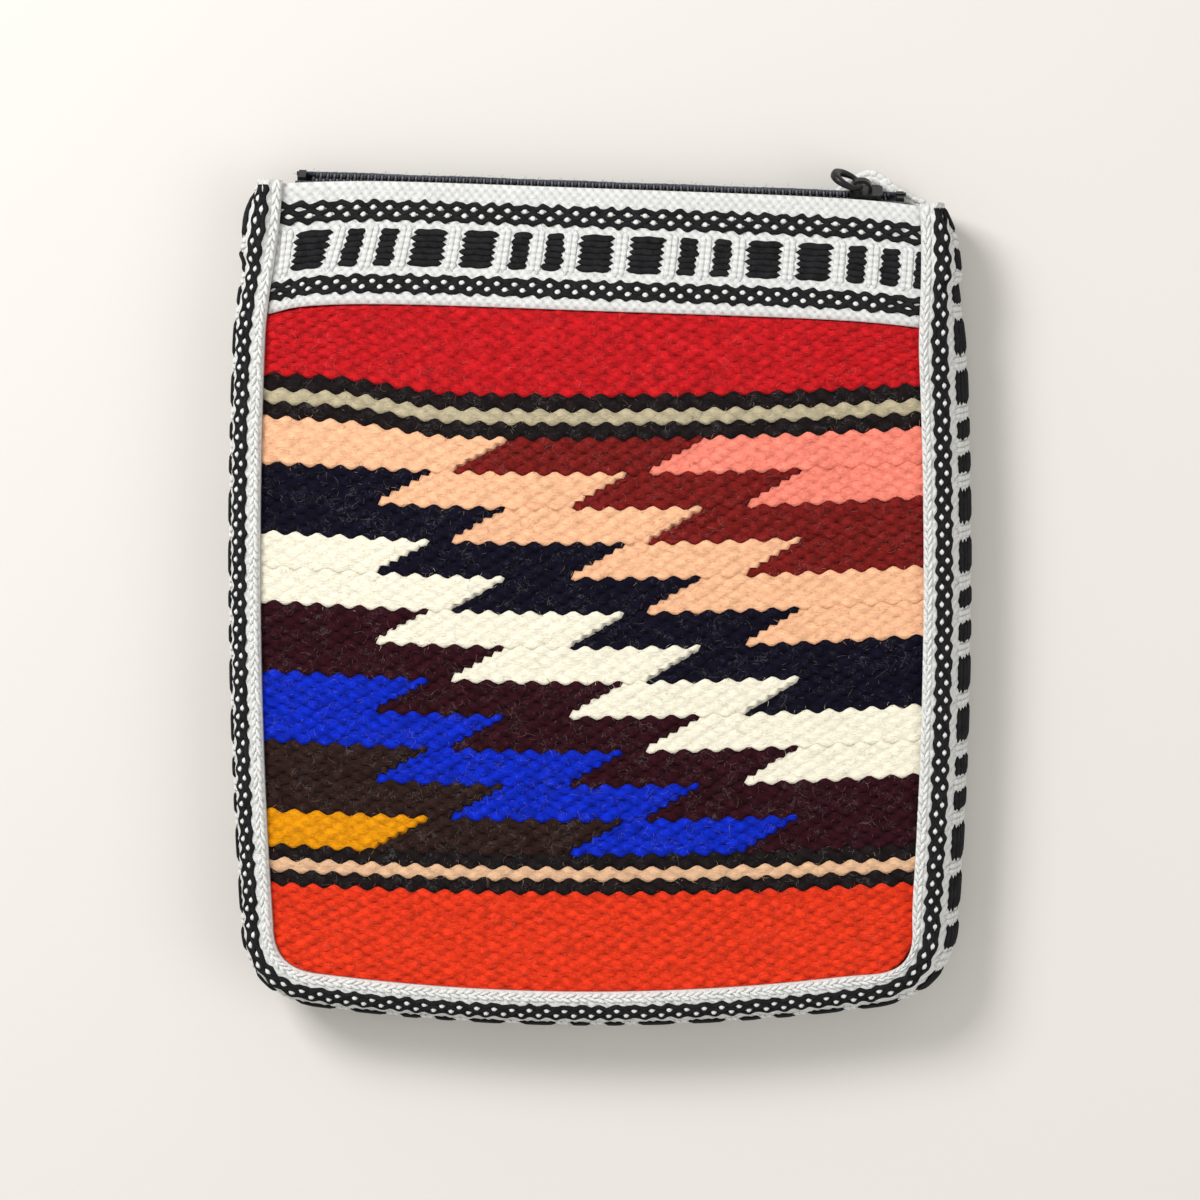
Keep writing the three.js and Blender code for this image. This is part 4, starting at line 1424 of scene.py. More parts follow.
    def chain(self, offset: float, spread: float, name: str, nodes: Names) -> Piece:
        """Builds one chain stripe, three wavy black strands with rows of white between them.

        Args:
            offset: Place across of the chain's middle, from the middle of the blocks.
            spread: Width of the chain against the pattern's.
            name: Name of the piece.
            nodes: Solids that the piece stands for.

        Returns:
            The piece.
        """
        p = self.pattern
        maker = Mesher()
        sides = self.grade.sides
        first, last = self.shown[0] - self.tuck, self.shown[1] + self.tuck
        steps = int((last - first) / p.chain_pitch * self.grade.rings) + 1
        along = np.linspace(first, last, steps)[None, :]
        turn = np.cos(2.0 * math.pi * along / p.chain_pitch)
        wander = waver(along, p.chain_wander)
        outer = p.chain_wave * turn
        lines = (p.chain_rise + outer, -p.chain_middle * turn, outer - p.chain_rise)
        half = p.strand_width * (p.strand_mean + waver(along, p.strand_uneven))
        for side in self.faces:
            out = side * (self.thick / 2.0 + p.strand_out)
            for line, sink in zip(lines, (p.strand_sink, 0.0, -p.strand_sink)):
                across = self.middle + offset + spread * line + wander
                rings = self.strip(along, across, half, p.strand_lift + sink * turn, out, sides)
                maker.tubes(rings, lit(ring_angles(sides), 0.5))
        return maker.piece(name, BLACK_YARN, "band_black", nodes=nodes)

    def blocks(self, nodes: Names) -> Piece:
        """Builds the black blocks, each a few floats of black yarn with ragged ends.

        Args:
            nodes: Solids that the piece stands for.

        Returns:
            The piece.
        """
        p = self.pattern
        maker = Mesher()
        count = int(round(p.height / p.pick))
        sides = self.grade.sides
        t = np.linspace(0.0, 1.0, self.grade.rings + 1)
        taper = np.broadcast_to(swelling(t, 5, 0.12), (count, len(t)))
        number = np.arange(count)
        row = self.middle + (number - (count - 1) / 2.0) * p.pick
        draw = np.random.default_rng(11)
        for side in self.faces:
            out = side * (self.thick / 2.0 + p.float_out)
            for a, b in self.spans():
                ragged = draw.uniform(*p.ragged, (count, 2))
                starts = a - ragged[:, 0] * np.where(number % 2, *p.ragged_starts)
                stops = b + ragged[:, 1] * np.where(number % 2, *p.ragged_stops)
                along = mix(starts[:, None], stops[:, None], t)
                across = row[:, None] + p.float_bow * np.sin(along * p.bow_rate + number[:, None])
                rings = self.strip(along, across, p.float_half * p.pick * taper, p.float_lift * taper,
                                   out, sides)
                maker.tubes(rings, lit(ring_angles(sides), 0.45))
        return maker.piece(f"{self.name}_blocks", BLACK_YARN, "band_black", nodes=nodes)

    def build(self, cloth: Names, yarn: Names = (), chains: Sequence[Names] = ((), ()),
              held: str = "stretched", rests_on: Names = (), edges: Sequence[Piece] = ()) -> Piece:
        """Builds the whole band.

        Args:
            cloth: Solids that the white cloth stands for.
            yarn: Solids that the blocks stand for.
            chains: Solids that each of the two chains stands for.
            held: Not used.
            rests_on: Not used.
            edges: Not used.

        Returns:
            The white cloth.
        """
        white = self.cloth(cloth)
        offset = self.pattern.chain_offset
        pieces = [self.blocks(yarn)]
        for number, (at, spread, nodes) in enumerate(zip((-offset, offset), self.spread, chains), start=1):
            pieces.append(self.chain(at, spread, f"{self.name}_chain_{number}", nodes))
        return white


@dataclass
class TopBands:
    """The bands along the mouth, one on the front and one on the back."""

    form: BagForm
    block_middle: float = 17.6
    flare_depth: float = 16.0
    flare_lift: float = 0.1
    rim_curl: float = 0.6
    cord_from: float = 60.0
    cord_to: float = 88.0
    cord_pitch: float = 1.9
    cord_stitch: float = 3.0
    pull_slant: float = 0.28
    pull_at: float = -82.0
    pull_fade: float = 40.0
    pull_from: float = -88.0
    pull_start: float = 16.0
    cord_rise: float = 1.7
    cord_lift: float = 0.3
    cord_dive: float = 7.0
    cord_size: Pair = (0.9, 1.1)

    def front_place(self, along: Array, across: Array, out: Array) -> Array:
        """Points of the front band.

        Args:
            along: Distance along the band from its middle.
            across: Distance down from the mouth.
            out: Distance out of the band's middle.

        Returns:
            Points in the bag's millimetres.
        """
        form = self.form
        y = form.band_line(along, across)
        fade = np.exp((self.pull_at - along) / self.pull_fade)
        pulled = self.pull_slant * fade * smooth(along - self.pull_from, self.pull_start)
        x = along + pulled * (self.block_middle - across)
        curl = self.rim_curl * form.rim_rise * (1.0 - smooth(across, form.rim_reach))
        return form.settle(x, y, form.front_face(x, y) + curl - form.band_thick / 2.0 + out)

    def back_place(self, along: Array, across: Array, out: Array) -> Array:
        """Points of the back band.

        Args:
            along: Distance along the band from its middle.
            across: Distance down from the mouth.
            out: Distance out of the band's middle, towards the floor.

        Returns:
            Points in the bag's millimetres.
        """
        form = self.form
        y = form.mouth_line(along) - form.edge[0] - across
        level = form.back_face(along, y) + form.band_thick / 2.0 - out
        pulled = form.flare(along) * smooth(self.flare_depth - across, self.flare_depth)
        return form.settle(along, y + pulled, level + self.flare_lift * pulled)

    def edge_cord(self) -> Piece:
        """Builds the plaited edge of the back where it shows beside the slider.

        Returns:
            The piece.
        """
        form = self.form
        draw = np.random.default_rng(21)
        starts = np.arange(self.cord_from, self.cord_to, self.cord_pitch)[:, None]
        t = np.linspace(0.0, 1.0, 8)
        angle = ring_angles(7)
        maker = Mesher()
        for row in (-1.0, 1.0):
            stray = draw.normal(0.0, 0.1, starts.shape)
            x = starts + (t - 0.5) * self.cord_stitch + (0.5 + 0.5 * row) * self.cord_pitch / 2.0 + stray
            x = np.minimum(x, self.cord_to + 0.5)
            rise = form.flare(x)
            under = 1.0 - smooth(x - self.cord_from - 1.0, self.cord_dive)
            y = form.mouth_line(x) - form.edge[0] + rise + self.cord_rise * (1.0 - 2.0 * under)
            y = y + row * (0.5 + 0.5 * t)
            z = form.middle_z - form.back_edge + self.flare_lift * rise + self.cord_lift * (1.0 - 3.0 * under)
            size = (draw.uniform(*self.cord_size, starts.shape) * swelling(t, 3, 0.15))[..., None]
            slope = (np.gradient(y, axis=1) / np.gradient(x, axis=1))[..., None]
            aside = size * np.cos(angle) / np.hypot(1.0, slope)
            rings = np.stack([x[..., None] - aside * slope, y[..., None] + aside,
                              z[..., None] + size * np.sin(angle)], axis=-1)
            maker.tubes(rings, lit(angle, 0.6))
        return maker.piece("back_band_edge", WHITE_YARN, "band_white")

    def build(self) -> None:
        """Builds both bands."""
        form = self.form
        reach = float(form.half_width(form.body_height)) - form.seam_inset
        shown = float(form.half_width(form.body_height)) - form.lap - 2.0 * form.gap
        common = dict(start=-reach, end=reach, width=form.band_width, middle=self.block_middle,
                      thick=form.band_thick, shown=(-shown, shown))
        Band("front_band", self.front_place, spread=(1.0, 0.84), tuck=3.4, **common).build(
            ["front_top_band"], ["front_band_block_yarn"],
            [["front_band_chain_upper"], ["front_band_chain_lower"]], rests_on=["tapestry_red"])
        Band("back_band", self.back_place, grade=BESIDE, **common).build(
            ["back_top_band"], rests_on=["back_panel_cloth"], edges=[self.edge_cord()])


@dataclass
class Gusset:
    """The band round the sides and the bottom, lapped over the front and the back with a braided edge."""

    form: BagForm
    samples: int = 900
    lap_shown: float = 0.72
    end_lift: float = 2.6
    lift_reach: float = 14.0
    end_bulge: float = 0.3
    end_reach: float = 10.0
    hem_thick: float = 0.8
    hem_fall: float = 3.5
    hem_over: float = 0.5
    hem_edge: float = 2.0
    slope_step: float = 0.4
    chain_offset: float = 10.6
    block_height: float = 11.2
    braid_pitch: float = 2.3
    braid_from: float = 0.3
    braid_width: float = 1.9
    braid_row: float = 1.45
    braid_slant: Pair = (1.3, 2.6)
    braid_size: Pair = (0.9, 1.15)
    stitch_wide: float = 1.08
    stitch_high: float = 0.68
    pinch: float = 0.45
    pinch_at: Pair = (5.0, 4.0)
    pinch_area: float = 90.0
    margin: float = 1.5
    table: dict[str, Array] = field(default_factory=dict)

    def __post_init__(self) -> None:
        """Measures the fold that the band follows."""
        form = self.form
        mouth, foot = form.mouth_width / 2.0, form.foot_width / 2.0
        flat = foot - form.foot_corner
        pull = form.waist_width - (mouth + foot) / 2.0
        left, right = float(form.mouth_line(-mouth)), float(form.mouth_line(mouth))
        end = float(form.bottom_line(flat))
        dip = end - 2.0 * form.bottom_sag * (flat / foot) ** 2
        corner = form.foot_corner
        curves = [
            ((-mouth, left), (-pull, (left + corner) / 2.0), (-foot, corner)),
            ((-foot, corner), (-foot, 0.0), (-flat, end)),
            ((-flat, end), (0.0, dip), (flat, end)),
            ((flat, end), (foot, 0.0), (foot, corner)),
            ((foot, corner), (pull, (right + corner) / 2.0), (mouth, right)),
        ]
        t = np.linspace(0.0, 1.0, self.samples)[:, None]
        points, slopes = [], []
        for a, b, c in (map(np.array, curve) for curve in curves):
            points.append(bend(a, b, c, t))
            slopes.append(2 * (1 - t) * (b - a) + 2 * t * (c - b))
        line, slope = np.concatenate(points), np.concatenate(slopes)
        slope /= np.linalg.norm(slope, axis=1)[:, None]
        gone = np.concatenate([[0.0], np.cumsum(np.linalg.norm(np.diff(line, axis=0), axis=1))])
        self.table = {"s": gone, "x": line[:, 0], "y": line[:, 1], "tx": slope[:, 0], "ty": slope[:, 1]}

    @property
    def length(self) -> float:
        """Length of the band along the fold."""
        return float(self.table["s"][-1])

    @property
    def arc(self) -> float:
        """Width of the band between its laps."""
        form = self.form
        return math.pi * math.hypot(form.depth / 2.0, form.bulge) / math.sqrt(2.0)

    @property
    def width(self) -> float:
        """Width of the band with its laps."""
        return 2.0 * self.form.lap + self.arc

    def section(self, x: Array, y: Array, across: Array, drawn: Array) -> tuple[Array, Array]:
        """Place of the band's middle at the fold: out from it, and up.

        Args:
            x: Place of the fold across the bag.
            y: Place of the fold along the bag.
            across: Distance across the band.
            drawn: How much of its bulge the band keeps.

        Returns:
            Distance out from the fold, and level.
        """
        form = self.form
        front = form.front_face(x, y) + form.lap_offset
        back = form.back_face(x, y) - form.lap_offset
        bulge = drawn * mix(form.mouth_bulge, form.bulge, form.fullness(x, y))
        turn = math.pi * np.clip((across - form.lap) / self.arc, 0.0, 1.0)
        off_x, off_y = x - form.foot_width / 2.0 + self.pinch_at[0], y - self.pinch_at[1]
        corner = np.exp(-(off_x ** 2 + off_y ** 2) / self.pinch_area)
        lap = np.maximum(0.0, np.maximum(form.lap - across, across - form.lap - self.arc))
        lap = lap * self.lap_shown * (1.0 - self.pinch * corner)
        return bulge * np.sin(turn) - lap, mix(back, front, 0.5 + 0.5 * np.cos(turn))

    def place(self, along: Array, across: Array, out: Array) -> Array:
        """Points of the band.

        Args:
            along: Distance from its left end.
            across: Distance from its front edge.
            out: Distance out of the bag.

        Returns:
            Points in the bag's millimetres.
        """
        form = self.form
        along, across, out = np.broadcast_arrays(along, across, out)
        ends = np.minimum(along, self.length - along)
        hem = self.hem_thick * form.band_thick * (1.0 - smooth(ends - form.hem, self.hem_fall))
        for inside in (across - form.lap + self.hem_over, form.lap + self.arc + self.hem_over - across):
            hem = hem * smooth(inside, self.hem_edge)
        out = out + np.where(out > 0.0, hem, 0.0)
        s = np.clip(along, 0.0, self.length)
        x, y, tx, ty = (np.interp(s, self.table["s"], self.table[k]) for k in ("x", "y", "tx", "ty"))
        drawn = mix(self.end_bulge, 1.0, smooth(ends + 1.0, self.end_reach))
        here, up = self.section(x, y, across, drawn)
        near = self.section(x, y, across - self.slope_step, drawn)
        far = self.section(x, y, across + self.slope_step, drawn)
        slope = np.hypot(far[0] - near[0], far[1] - near[1])
        here = here - (far[1] - near[1]) / slope * out
        up = up + (far[0] - near[0]) / slope * out
        lift = self.end_lift * (1.0 - smooth(ends, self.lift_reach))
        return form.settle(x + ty * here, y - tx * here + lift, up)

    def braid(self, front: bool) -> Mesher:
        """Gathers the plaited stitches of one lapped edge.

        Args:
            front: Whether it is the edge on the front.

        Returns:
            The mesh of the stitches.
        """
        form = self.form
        steps, sides = (7, 6) if front else (4, 4)
        draw = np.random.default_rng(5)
        starts = np.arange(1.0, self.length - 1.0, self.braid_pitch)[:, None]
        t = np.linspace(0.0, 1.0, steps)
        maker = Mesher()
        angle = ring_angles(sides)
        for half_row in (0, 1):
            slant = (t - 0.5) * draw.uniform(*self.braid_slant, starts.shape) * (1.0 if half_row else -1.0)
            stray = draw.normal(0.0, 0.16, starts.shape)
            along = starts + slant + half_row * self.braid_pitch / 2.0 + stray
            across = self.braid_from + self.braid_width * t + half_row * self.braid_row
            across = across + draw.normal(0.0, 0.12, starts.shape)
            across = across if front else self.width - across
            size = draw.uniform(*self.braid_size, (len(starts), 1, 1)) * swelling(t, 3, 0.15)[None, :, None]
            spread = self.stitch_wide * size * np.cos(angle)
            lift = form.band_thick / 2.0 + 0.08 + self.stitch_high * size * np.sin(angle)
            rings = self.place(along[..., None] + spread, across[..., None] + 0.0 * spread, lift)
            maker.tubes(rings, lit(angle, 0.65))
        return maker

    def build(self) -> None:
        """Builds the band and its braided edges."""
        band = Band("gusset", self.place, 0.0, self.length, self.width, self.width / 2.0,
                    self.form.band_thick, (self.margin, self.length - self.margin), grade=BESIDE,
                    spread=(0.84, 0.84),
                    pattern=BandPattern(chain_offset=self.chain_offset, height=self.block_height))
        edges = [self.braid(front).piece(name, WHITE_YARN, "band_white")
                 for front, name in ((True, "gusset_front_edge"), (False, "gusset_back_edge"))]
        band.build(["gusset_band"], ["gusset_block_yarn"], [["gusset_chain_front"], ["gusset_chain_back"]],
                   rests_on=["tapestry_red", "back_panel_cloth"], edges=edges)


@dataclass
class Strap:
    """The strap, one long band laid flat under the bag in runs that turn by slanting folds."""

    form: BagForm
    width: float = 35.0
    spacing: float = 4.0
    low: float = 24.0
    high_drop: float = 30.0
    end_drop: float = 14.0
    yarn_room: float = 0.6
    margin: float = 3.0
    corners: list[Array] = field(default_factory=list)

    def __post_init__(self) -> None:
        """Finds the corners of the route."""
        pitch = self.width + self.spacing
        outer, inner = 1.5 * pitch, 0.5 * pitch
        high = self.form.body_height - self.high_drop
        end = self.form.body_height - self.end_drop
        self.corners = [np.array(p) for p in (
            (-outer, end), (-outer, self.low), (-inner, self.low), (-inner, high),
            (inner, high), (inner, self.low), (outer, self.low), (outer, end))]

    @property
    def levels(self) -> Pair:
        """Levels of the middle of the lower and the upper layer."""
        lower = self.form.strap_thick / 2.0
        return lower, lower + self.form.strap_thick + self.form.gap

    @property
    def roll(self) -> float:
        """Length of strap along its middle that each fold takes up."""
        lower, upper = self.levels
        return math.pi * (upper - lower) / 2.0 * math.sqrt(2.0)

    @property
    def length(self) -> float:
        """Length of the strap."""
        runs = sum(float(np.linalg.norm(b - a)) for a, b in zip(self.corners[:-1], self.corners[1:]))
        return runs + self.roll * (len(self.corners) - 2)

    def place(self, along: Array, across: Array, out: Array) -> Array:
        """Points of the strap.

        Args:
            along: Distance from its left sewn end.
            across: Distance from its edge.
            out: Distance out of its upper face.

        Returns:
            Points in the bag's millimetres.
        """
        form = self.form
        along, across, out = np.broadcast_arrays(along, across, out)
        side = across - self.width / 2.0
        lower, upper = self.levels
        radius = (upper - lower) / 2.0
        x, y, z = (np.zeros(along.shape) for _ in range(3))
        gone = 0.0
        start = np.full(along.shape, -math.inf)
        for run, (a, b) in enumerate(zip(self.corners[:-1], self.corners[1:])):
            ahead = (b - a) / np.linalg.norm(b - a)
            face = 1.0 if run % 2 == 0 else -1.0
            left = face * np.array([-ahead[1], ahead[0]])
            stop = gone + float(np.linalg.norm(b - a))
            level = upper if run % 2 == 0 else lower
            last = run == len(self.corners) - 2
            if last:
                edge = np.full(along.shape, math.inf)
            else:
                after = self.corners[run + 2] - b
                after = after / np.linalg.norm(after)
                left_after = -face * np.array([-after[1], after[0]])
                lean = float(np.dot(left + left_after, ahead))
                edge = stop + lean * side
            here = (along >= start) & (along < edge)
            px, py = (a[k] + ahead[k] * (along - gone) + left[k] * side for k in (0, 1))
            pz = np.full(along.shape, level)
            if run in (0, len(self.corners) - 2):
                pz = form.back_face(px, py) - form.gap - form.strap_thick / 2.0
            x, y = np.where(here, px, x), np.where(here, py, y)
            z = np.where(here, pz + face * out, z)
            if last:
                break
            outward = (ahead - after) / math.sqrt(2.0)
            turn = (along - edge) / self.roll * math.pi
            fold = (along >= edge) & (along < edge + self.roll)
            cx, cy = (a[k] + ahead[k] * (edge - gone) + left[k] * side for k in (0, 1))
            reach = (radius + out) * np.sin(turn)
            rise = (upper + lower) / 2.0 + face * (radius + out) * np.cos(turn)
            x = np.where(fold, cx + outward[0] * reach, x)
            y = np.where(fold, cy + outward[1] * reach, y)
            z = np.where(fold, rise, z)
            start = edge + self.roll
            gone = stop + self.roll
        return form.settle(x, y, z)

    def build(self) -> None:
        """Builds the strap."""
        Band("strap", self.place, 0.0, self.length, self.width, self.width / 2.0,
             self.form.strap_thick - self.yarn_room, (self.margin, self.length - self.margin), grade=UNDER,
             faces=(1, -1), pattern=BandPattern(stitch_row=3.5, stitch_pitch=6.0)).build(
            ["strap"], held="folded", rests_on=["back_panel_cloth"])


# Back and zip


@dataclass
class BackPanel:
    """The plain cloth of the back."""

    form: BagForm

    def build(self) -> Piece:
        """Builds the cloth.

        Returns:
            The cloth.
        """
        form = self.form
        u, v = np.meshgrid(np.linspace(-1, 1, 50), np.linspace(0, 1, 50), indexing="ij")
        top = float(form.mouth_line(0.0) - form.edge[0] - form.band_width - form.gap)
        rise = v * top
        corner = np.maximum(0.0, 1.0 - rise / form.foot_corner)
        half = form.half_width(np.maximum(rise, form.foot_corner)) - form.seam_inset
        x = u * (half - form.foot_corner * (1.0 - np.sqrt(1.0 - corner ** 2)))
        y = mix(form.bottom_line(x) + form.seam_inset,
                form.mouth_line(x) - form.edge[0] - form.band_width - form.gap, v)
        face = form.back_face(x, y)
        ripple = 0.12 * np.sin(x / 6.0 + y / 17.0) + 0.1 * np.sin(y / 8.0 - x / 21.0)
        maker = Mesher()
        maker.shell(form.settle(x, y, face + 0.2 + np.abs(ripple)),
                    form.settle(x, y, face + form.back_thick), 0.0 * x + 1.0)
        made = maker.piece("back_panel_cloth", BACK_CLOTH, "back_cloth", nodes=["back_panel"])
        return made


@dataclass
class Zip:
    """The coil zip: woven tapes, looped teeth, stops, slider and pull ring."""

    form: BagForm
    length: float = 166.0
    end_space: float = 3.0
    tooth_pitch: float = 1.85
    tooth_from: float = 0.45
    tooth_reach: float = 2.3
    tooth_size: Pair = (0.52, 0.85)
    head_swell: float = 0.18
    head_at: float = 0.12
    thread_from: float = 0.9
    thread_reach: float = 1.8
    thread_size: Pair = (0.4, 0.62)
    tape_offset: float = 3.6
    tape_start: float = 2.6
    tape_lap: float = 9.0
    tape_fray: Waves = ((0.06, 5.1), (0.05, 2.3))
    tape_weave: float = 0.05
    weave_rates: Pair = (4.0, 6.0)
    slider_at: float = 72.0
    hinge_x: float = -1.4
    hinge_out: float = 3.55
    pull_length: float = 9.0
    pull_width: float = 8.5
    pull_bar: float = 1.2
    pull_swing: float = 22.0
    pull_thick: float = 1.0
    pull_swell: float = 1.3
    bar_square: float = 0.7
    metal_round: float = 0.18

    def place(self, along: Array, out: Array, across: Array) -> Array:
        """Points beside the zip.

        Args:
            along: Distance along the zip.
            out: Distance out of the bag.
            across: Distance towards the front.

        Returns:
            Points in the bag's millimetres.
        """
        form = self.form
        tilt = math.radians(form.mouth_tilt)
        sine, cosine = form.lean
        along, out, across = np.broadcast_arrays(along, out, across)
        ahead = np.array([math.cos(tilt), -math.sin(tilt), 0.0])
        level = np.array([math.sin(tilt), math.cos(tilt), 0.0])
        up = np.array([0.0, 0.0, 1.0])
        normal, front = cosine * level + sine * up, cosine * up - sine * level
        middle = np.array([0.0, form.body_height, form.middle_z])
        return middle + along[..., None] * ahead + out[..., None] * normal + across[..., None] * front

    def unleaned(self, along: Array, ahead: Array, up: Array) -> Array:
        """Points measured along the zip, towards the mouth and up."""
        sine, cosine = self.form.lean
        return self.place(along, cosine * ahead + sine * up, cosine * up - sine * ahead)

    def tape(self, name: str, node: str, line: Sequence[Pair]) -> None:
        """Builds one tape.

        Args:
            name: Name of the piece.
            node: Solid that it stands for.
            line: Line across the zip that it follows, as distances towards the mouth and up.
        """
        corners = np.array(line)
        gone = np.concatenate([[0.0], np.cumsum(np.linalg.norm(np.diff(corners, axis=0), axis=1))])
        at = np.linspace(0.0, gone[-1], 18)
        ahead, up = (np.interp(at, gone, corners[:, k]) for k in (0, 1))
        for way in (ahead, up) * 2:
            way[1:-1] = (way[:-2] + 2.0 * way[1:-1] + way[2:]) / 4.0
        slope = np.stack([np.gradient(ahead), np.gradient(up)])
        slope /= np.linalg.norm(slope, axis=0)
        along = np.linspace(-self.length / 2.0, self.length / 2.0, 130)[:, None]
        frayed = waver(along, self.tape_fray)
        laid = smooth(at - 0.15 * gone[-1], 0.2 * gone[-1])
        frayed = frayed - laid * self.form.droop(along)
        if "back" in name:
            frayed = frayed + self.form.flare(along) * smooth(at - 0.25 * gone[-1], 0.15 * gone[-1])
        half = self.form.tape_thick / 2.0 + 0.0 * along
        weave = self.tape_weave * np.sin(along * self.weave_rates[0]) * np.sin(at * self.weave_rates[1])
        top, bottom = (
            self.unleaned(along + 0.0 * at, ahead + frayed - slope[1] * off, up + slope[0] * off)
            for off in (half + weave, -half))
        maker = Mesher()
        maker.shell(top, bottom, np.ones(top.shape[:-1]))
        maker.fuzz(top, 450, np.random.default_rng(9), length=1.1)
        made = maker.piece(name, TAPE_CLOTH, "zip_tape", nodes=[node])

    def on_zip(self, across: float) -> Pair:
        """Point on the zip's own plane, as a distance towards the mouth and up."""
        sine, cosine = self.form.lean
        return -sine * across, cosine * across

    def tapes(self) -> None:
        """Builds both tapes."""
        form = self.form
        turn = self.on_zip(self.tape_offset)
        self.tape("zip_tape_front_cloth", "zip_tape_front",
                  [self.on_zip(self.tape_start), turn, (turn[0] - self.tape_lap, turn[1])])
        clear = form.gap + form.tape_thick / 2.0
        outside = form.back_edge + form.band_thick / 2.0 + clear
        drop = float(smooth(np.array(self.tape_lap), form.top_fall))
        drop *= form.middle_z - form.back_edge - form.back_under
        sheet_edge = -form.edge[0] + clear + form.tape_thick / 2.0
        self.tape("zip_tape_back_cloth", "zip_tape_back", [
            self.on_zip(-self.tape_start), self.on_zip(-self.tape_offset), (sheet_edge, -form.back_edge),
            (sheet_edge - clear, -outside), (sheet_edge - self.tape_lap, -outside - drop)])

    def coils(self) -> None:
        """Builds the two rows of looped teeth."""
        half = self.length / 2.0 - self.end_space
        count = int((2.0 * half - self.tooth_pitch) / self.tooth_pitch)
        t = np.linspace(0.0, 1.0, 9)
        reach = self.tooth_from + self.tooth_reach * t
        swell = swelling(t, 4, 0.2)
        head = 1.0 + self.head_swell * np.exp(-((t - self.head_at) / self.head_at) ** 2)
        angle = ring_angles(8)
        for side, name, shift in ((1.0, "front", 0.0), (-1.0, "back", self.tooth_pitch / 2.0)):
            middles = (np.arange(count) - (count - 1) / 2.0) * self.tooth_pitch
            middles = middles - self.tooth_pitch / 4.0 + shift
            width = (self.tooth_size[0] * swell * head)[None, :, None] * np.cos(angle)
            lift = (self.tooth_size[1] * swell * head)[None, :, None] * np.sin(angle)
            rings = self.place(middles[:, None, None] + width, lift + 0.0 * width,
                               side * reach[None, :, None] + 0.0 * width)
            maker = Mesher()
            maker.tubes(rings, 1.0)
            maker.piece(f"zip_coil_{name}_teeth", COIL_NYLON, "zip_coil", nodes=[f"zip_coil_{name}"])
            thread = Mesher()
            between = (middles[:-1] + middles[1:])[:, None, None] / 2.0
            along = between + (self.thread_size[0] * swell)[None, :, None] * np.cos(angle)
            lift = (self.thread_size[1] * swell)[None, :, None] * np.sin(angle)
            reached = side * (self.thread_from + self.thread_reach * t)[None, :, None]
            rings = self.place(along, lift + 0.0 * along, reached + 0.0 * along)
            thread.tubes(rings, lit(angle, 0.5))
            thread.piece(f"zip_thread_{name}", ZIP_THREAD, "zip_tape")

    def pull(self) -> None:
        """Builds the pull ring, a flat bar bent into an oval."""
        around = ring_angles(72)
        section = ring_angles(10)
        bar_wide, bar_high = (np.sign(wave) * np.abs(wave) ** self.bar_square
                              for wave in (np.cos(section), np.sin(section)))
        middle = (self.pull_bar - self.pull_length) / 2.0
        radius_x = (self.pull_length - self.pull_bar) / 2.0
        radius_w = (self.pull_width - self.pull_bar) / 2.0
        outward = np.stack([np.cos(around) / radius_x, np.sin(around) / radius_w])
        outward /= np.linalg.norm(outward, axis=0)
        far = self.pull_swell * (0.5 - 0.5 * np.cos(around))[:, None]
        wide = (self.pull_bar + far) / 2.0 * bar_wide
        flat_x = middle + radius_x * np.cos(around)[:, None] + outward[0][:, None] * wide
        flat_w = radius_w * np.sin(around)[:, None] + outward[1][:, None] * wide
        flat_n = (self.pull_thick + far) / 2.0 * bar_high
        swing = -math.radians(self.pull_swing)
        x = self.slider_at + self.hinge_x + math.cos(swing) * flat_x - math.sin(swing) * flat_n
        n = self.hinge_out + math.sin(swing) * flat_x + math.cos(swing) * flat_n
        maker = Mesher()
        found = maker.take(self.place(x, n, flat_w), np.ones(x.shape))
        closed = np.concatenate([found, found[:1]], axis=0)
        maker.quads(np.concatenate([closed, closed[:, :1]], axis=1)[:, ::-1])
        maker.piece("zip_pull_ring", ZIP_ENAMEL, "zip_metal", body=Body.PULL, nodes=["zip_pull"])

    def metal(self) -> None:
        """Dresses the slider and the stops, which keep their solids, with rounded edges."""
        for node in ("zip_slider", "zip_stop_front", "zip_stop_back", "zip_stop_far"):
            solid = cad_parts[node]
            solid.data.materials.clear()
            solid.data.materials.append(ZIP_ENAMEL.material())
            bevel = solid.modifiers.new("rounded", "BEVEL")
            bevel.width = self.metal_round * METRES
            bevel.segments = 2
            bevel.limit_method = "ANGLE"
            bevel.angle_limit = math.radians(50.0)
            LOG.info("%s dressed", node)

    def build(self) -> None:
        """Builds the whole zip."""
        self.tapes()
        self.coils()
        self.pull()
        self.metal()


# Studio


@dataclass(frozen=True)
class Lamp:
    """A square lamp that faces the bag, in metres and watts."""

    name: str
    spot: Triple
    size: float
    power: float

    def build(self) -> None:
        """Makes the lamp."""
        lamp = bpy.data.lights.new(self.name, "AREA")
        lamp.size = self.size
        lamp.energy = self.power
        made = bpy.data.objects.new(self.name, lamp)
        made.location = self.spot
        made.rotation_euler = (-made.location).to_track_quat("-Z", "Y").to_euler()
        bpy.context.scene.collection.objects.link(made)


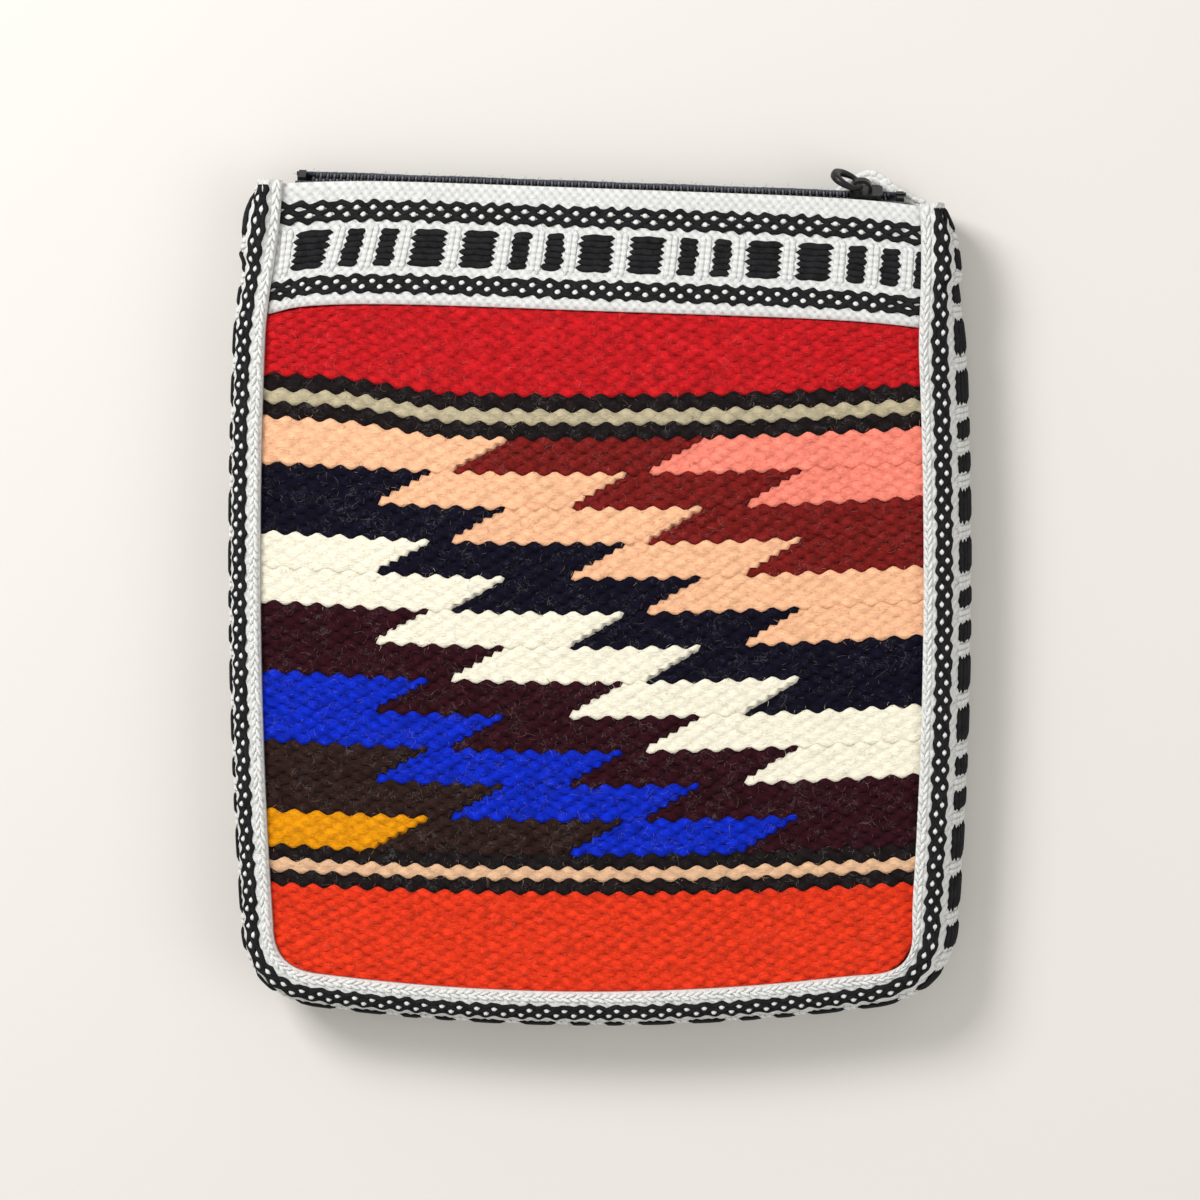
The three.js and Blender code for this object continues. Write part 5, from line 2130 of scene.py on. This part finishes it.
@dataclass
class Studio:
    """A pale floor, soft light from the upper left, and a camera straight above, in metres."""

    view_width: float = 0.324
    height: float = 1.3
    look_at: Pair = (-0.0003, -0.0015)
    front_level: float = 0.022
    floor_code: str = "dfdbd5"
    floor_size: float = 3.0
    floor_level: float = -0.0007
    key: Lamp = Lamp("key", (-0.75, 0.7, 1.0), 0.5, 16.0)
    fill: Lamp = Lamp("fill", (0.9, -0.3, 1.1), 0.9, 4.3)
    sky_colour: Triple = (1.0, 0.99, 0.97)
    sky_strength: float = 0.56

    def floor(self) -> None:
        """Makes the floor."""
        mesh = bpy.data.meshes.new("floor")
        corners = ((-1, -1), (1, -1), (1, 1), (-1, 1))
        points = [(x * self.floor_size, y * self.floor_size, 0) for x, y in corners]
        mesh.from_pydata(points, [], [(0, 1, 2, 3)])
        made = bpy.data.objects.new("floor", mesh)
        made.location.z = self.floor_level
        bpy.context.scene.collection.objects.link(made)
        paint = bpy.data.materials.new("floor_paint")
        paint.use_nodes = True
        shader = paint.node_tree.nodes["Principled BSDF"]
        shader.inputs["Base Color"].default_value = (*linear(self.floor_code), 1.0)
        shader.inputs["Roughness"].default_value = 0.8
        mesh.materials.append(paint)

    def build(self) -> None:
        """Makes the floor, the light and the camera."""
        scene = bpy.context.scene
        scene.view_settings.view_transform = "Standard"
        self.floor()
        self.key.build()
        self.fill.build()
        world = bpy.data.worlds.new("studio")
        world.use_nodes = True
        sky = world.node_tree.nodes["Background"]
        sky.inputs["Color"].default_value = (*self.sky_colour, 1.0)
        sky.inputs["Strength"].default_value = self.sky_strength
        scene.world = world
        lens_data = bpy.data.cameras.new("camera")
        lens_data.lens = lens_data.sensor_width * (self.height - self.front_level) / self.view_width
        camera = bpy.data.objects.new("camera", lens_data)
        camera.location = (*self.look_at, self.height)
        scene.collection.objects.link(camera)
        scene.camera = camera


def main() -> None:
    """Builds the bag and its studio."""
    logging.basicConfig(level=logging.INFO, format="%(message)s")
    form = BagForm()
    Studio().build()
    BackPanel(form).build()
    tapestry = Tapestry(form)
    fields = tapestry.build()
    fields.append(tapestry.fibres())
    TopBands(form).build()
    Gusset(form).build()
    tapestry.ground()
    Strap(form).build()
    Zip(form).build()


if __name__ == "__main__":
    main()
